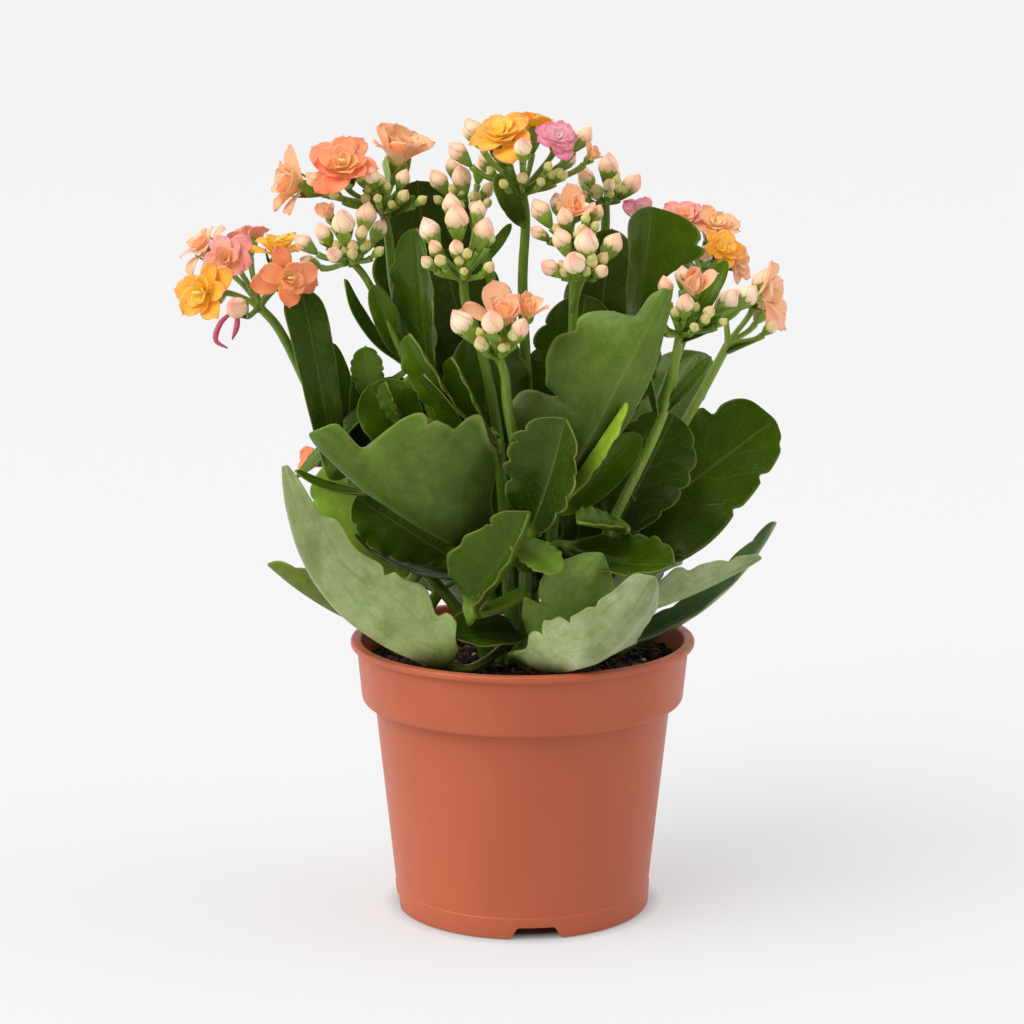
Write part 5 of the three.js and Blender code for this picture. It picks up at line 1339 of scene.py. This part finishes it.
class KALANCHOE_OT_stage(bpy.types.Operator):
    """Pale floor, soft studio light and the camera"""
    bl_idname = "kalanchoe.stage"
    bl_label = "Stage"

    def execute(self, context):
        scene = context.scene
        axis = Vector((PLANT_ORIGIN[0], PLANT_ORIGIN[1], 0.0))
        reach, level, bend = 12.0, cad_low.z - 0.0002, 2.5
        material, tree, shader, place = new_material("lit_paper_sweep", Roughness=0.9, Specular_IOR_Level=0.1)
        shader.inputs["Base Color"].default_value = (0.38, 0.38, 0.385, 1)
        shader.inputs["Emission Color"].default_value = (1.0, 1.0, 1.0, 1)
        # painted shade: the glow fades out under the pot and just beyond its foot, a painted contact shadow,
        # so that its notches stay dark
        away = add_node(tree, "ShaderNodeVectorMath", [place, tuple(axis + Vector((0, 0, level)))], "Value",
                        operation="DISTANCE")
        glow = add_node(tree, "ShaderNodeMapRange", [away, 0.038, 0.05, 0.0, 0.42])
        tree.links.new(glow, shader.inputs["Emission Strength"])
        # a softly glowing floor that curves up into a wall well behind the plant
        turn = np.linspace(0, math.pi / 2, 40)
        y = np.concatenate([[-reach], 1.6 + bend * np.sin(turn), [1.6 + bend]])
        z = np.concatenate([[0.0], bend - bend * np.cos(turn), [reach]]) + level
        points = [(x, b, c) for b, c in zip(y, z) for x in (-reach, reach)]
        faces = [(2 * k, 2 * k + 1, 2 * k + 3, 2 * k + 2) for k in range(len(y) - 1)]
        mesh = bpy.data.meshes.new("paper_sweep")
        mesh.from_pydata(points, [], faces)
        mesh.polygons.foreach_set("use_smooth", np.ones(len(faces), bool))
        sweep = bpy.data.objects.new("paper_sweep", mesh)
        mesh.materials.append(material)
        scene.collection.objects.link(sweep)

        world = bpy.data.worlds.new("studio")
        world.use_nodes = True
        scene.world = world
        tree = world.node_tree
        tree.nodes.clear()
        # the studio is brightest overhead and dim behind the camera
        way = add_node(tree, "ShaderNodeTexCoord", output="Generated")
        overhead = add_node(tree, "ShaderNodeSeparateXYZ", [way], 2)
        depth = add_node(tree, "ShaderNodeSeparateXYZ", [way], 1)
        overhead = add_node(tree, "ShaderNodeMapRange", [overhead, -0.1, 0.9, 0.3, 1.3])
        depth = add_node(tree, "ShaderNodeMapRange", [depth, -0.9, 0.1, 0.2, 1.0])
        aside = add_node(tree, "ShaderNodeSeparateXYZ", [way], 0)
        aside = add_node(tree, "ShaderNodeMath", [aside], operation="ABSOLUTE")
        aside = add_node(tree, "ShaderNodeMapRange", [aside, 0.4, 1.0, 1.0, 2.3])
        strength = add_node(tree, "ShaderNodeMath", [overhead, depth], operation="MULTIPLY")
        strength = add_node(tree, "ShaderNodeMath", [strength, aside], operation="MULTIPLY")
        seen = add_node(tree, "ShaderNodeBackground", [(0.905, 0.905, 0.905, 1), 1.0])
        lit = add_node(tree, "ShaderNodeBackground", [(1.0, 1.0, 1.0, 1), strength])
        camera_ray = add_node(tree, "ShaderNodeLightPath", output="Is Camera Ray")
        both = add_node(tree, "ShaderNodeMixShader", [camera_ray, lit, seen])
        tree.links.new(both, tree.nodes.new("ShaderNodeOutputWorld").inputs["Surface"])

        sun = bpy.data.lights.new("soft_key", "SUN")
        sun.energy, sun.angle = 1.75, math.radians(50)
        key = bpy.data.objects.new("soft_key", sun)
        key.rotation_euler = (math.radians(42), math.radians(-18), math.radians(-30))
        scene.collection.objects.link(key)
        box = bpy.data.lights.new("softbox", "AREA")
        box.shape, box.size, box.size_y, box.energy = "RECTANGLE", 0.9, 1.2, 2.0
        lamp = bpy.data.objects.new("softbox", box)
        lamp.location = axis + Vector((-1.1, -0.9, 1.2))
        aim = axis + Vector((0, 0, 0.15)) - lamp.location
        lamp.rotation_euler = aim.to_track_quat("-Z", "Y").to_euler()
        scene.collection.objects.link(lamp)

        camera = bpy.data.cameras.new("camera")
        camera.lens, camera.sensor_width = 90, 36
        eye = bpy.data.objects.new("camera", camera)
        eye.location = axis + Vector((-0.00367, -0.880, 0.298))
        eye.rotation_euler = (math.radians(79.85), 0, 0)
        scene.collection.objects.link(eye)
        scene.camera = eye
        scene.view_settings.view_transform = "Standard"
        return {"FINISHED"}


class KALANCHOE_PT_panel(bpy.types.Panel):
    """Lists the makers in the 3D view's sidebar"""
    bl_idname = "KALANCHOE_PT_panel"
    bl_label = "Kalanchoe"
    bl_space_type = "VIEW_3D"
    bl_region_type = "UI"
    bl_category = "Kalanchoe"

    def draw(self, context):
        layout = self.layout
        for group in (context.scene.kalanchoe_pot, context.scene.kalanchoe_plant):
            for key in group.__annotations__:
                layout.prop(group, key)
        for maker in MAKERS:
            layout.operator(maker.bl_idname)


MAKERS = (KALANCHOE_OT_stage, KALANCHOE_OT_pot, KALANCHOE_OT_soil, KALANCHOE_OT_stems, KALANCHOE_OT_flowers,
          KALANCHOE_OT_leaves)
CLASSES = (KalanchoePotSizes, KalanchoePlantSizes, *MAKERS, KALANCHOE_PT_panel)


def register():
    for kind in CLASSES:
        bpy.utils.register_class(kind)
    bpy.types.Scene.kalanchoe_pot = PointerProperty(type=KalanchoePotSizes)
    bpy.types.Scene.kalanchoe_plant = PointerProperty(type=KalanchoePlantSizes)


def unregister():
    del bpy.types.Scene.kalanchoe_plant
    del bpy.types.Scene.kalanchoe_pot
    for kind in reversed(CLASSES):
        bpy.utils.unregister_class(kind)


def main():
    register()
    for maker in MAKERS:
        group, name = maker.bl_idname.split(".")
        getattr(getattr(bpy.ops, group), name)()
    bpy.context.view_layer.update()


if __name__ == "__main__":
    main()
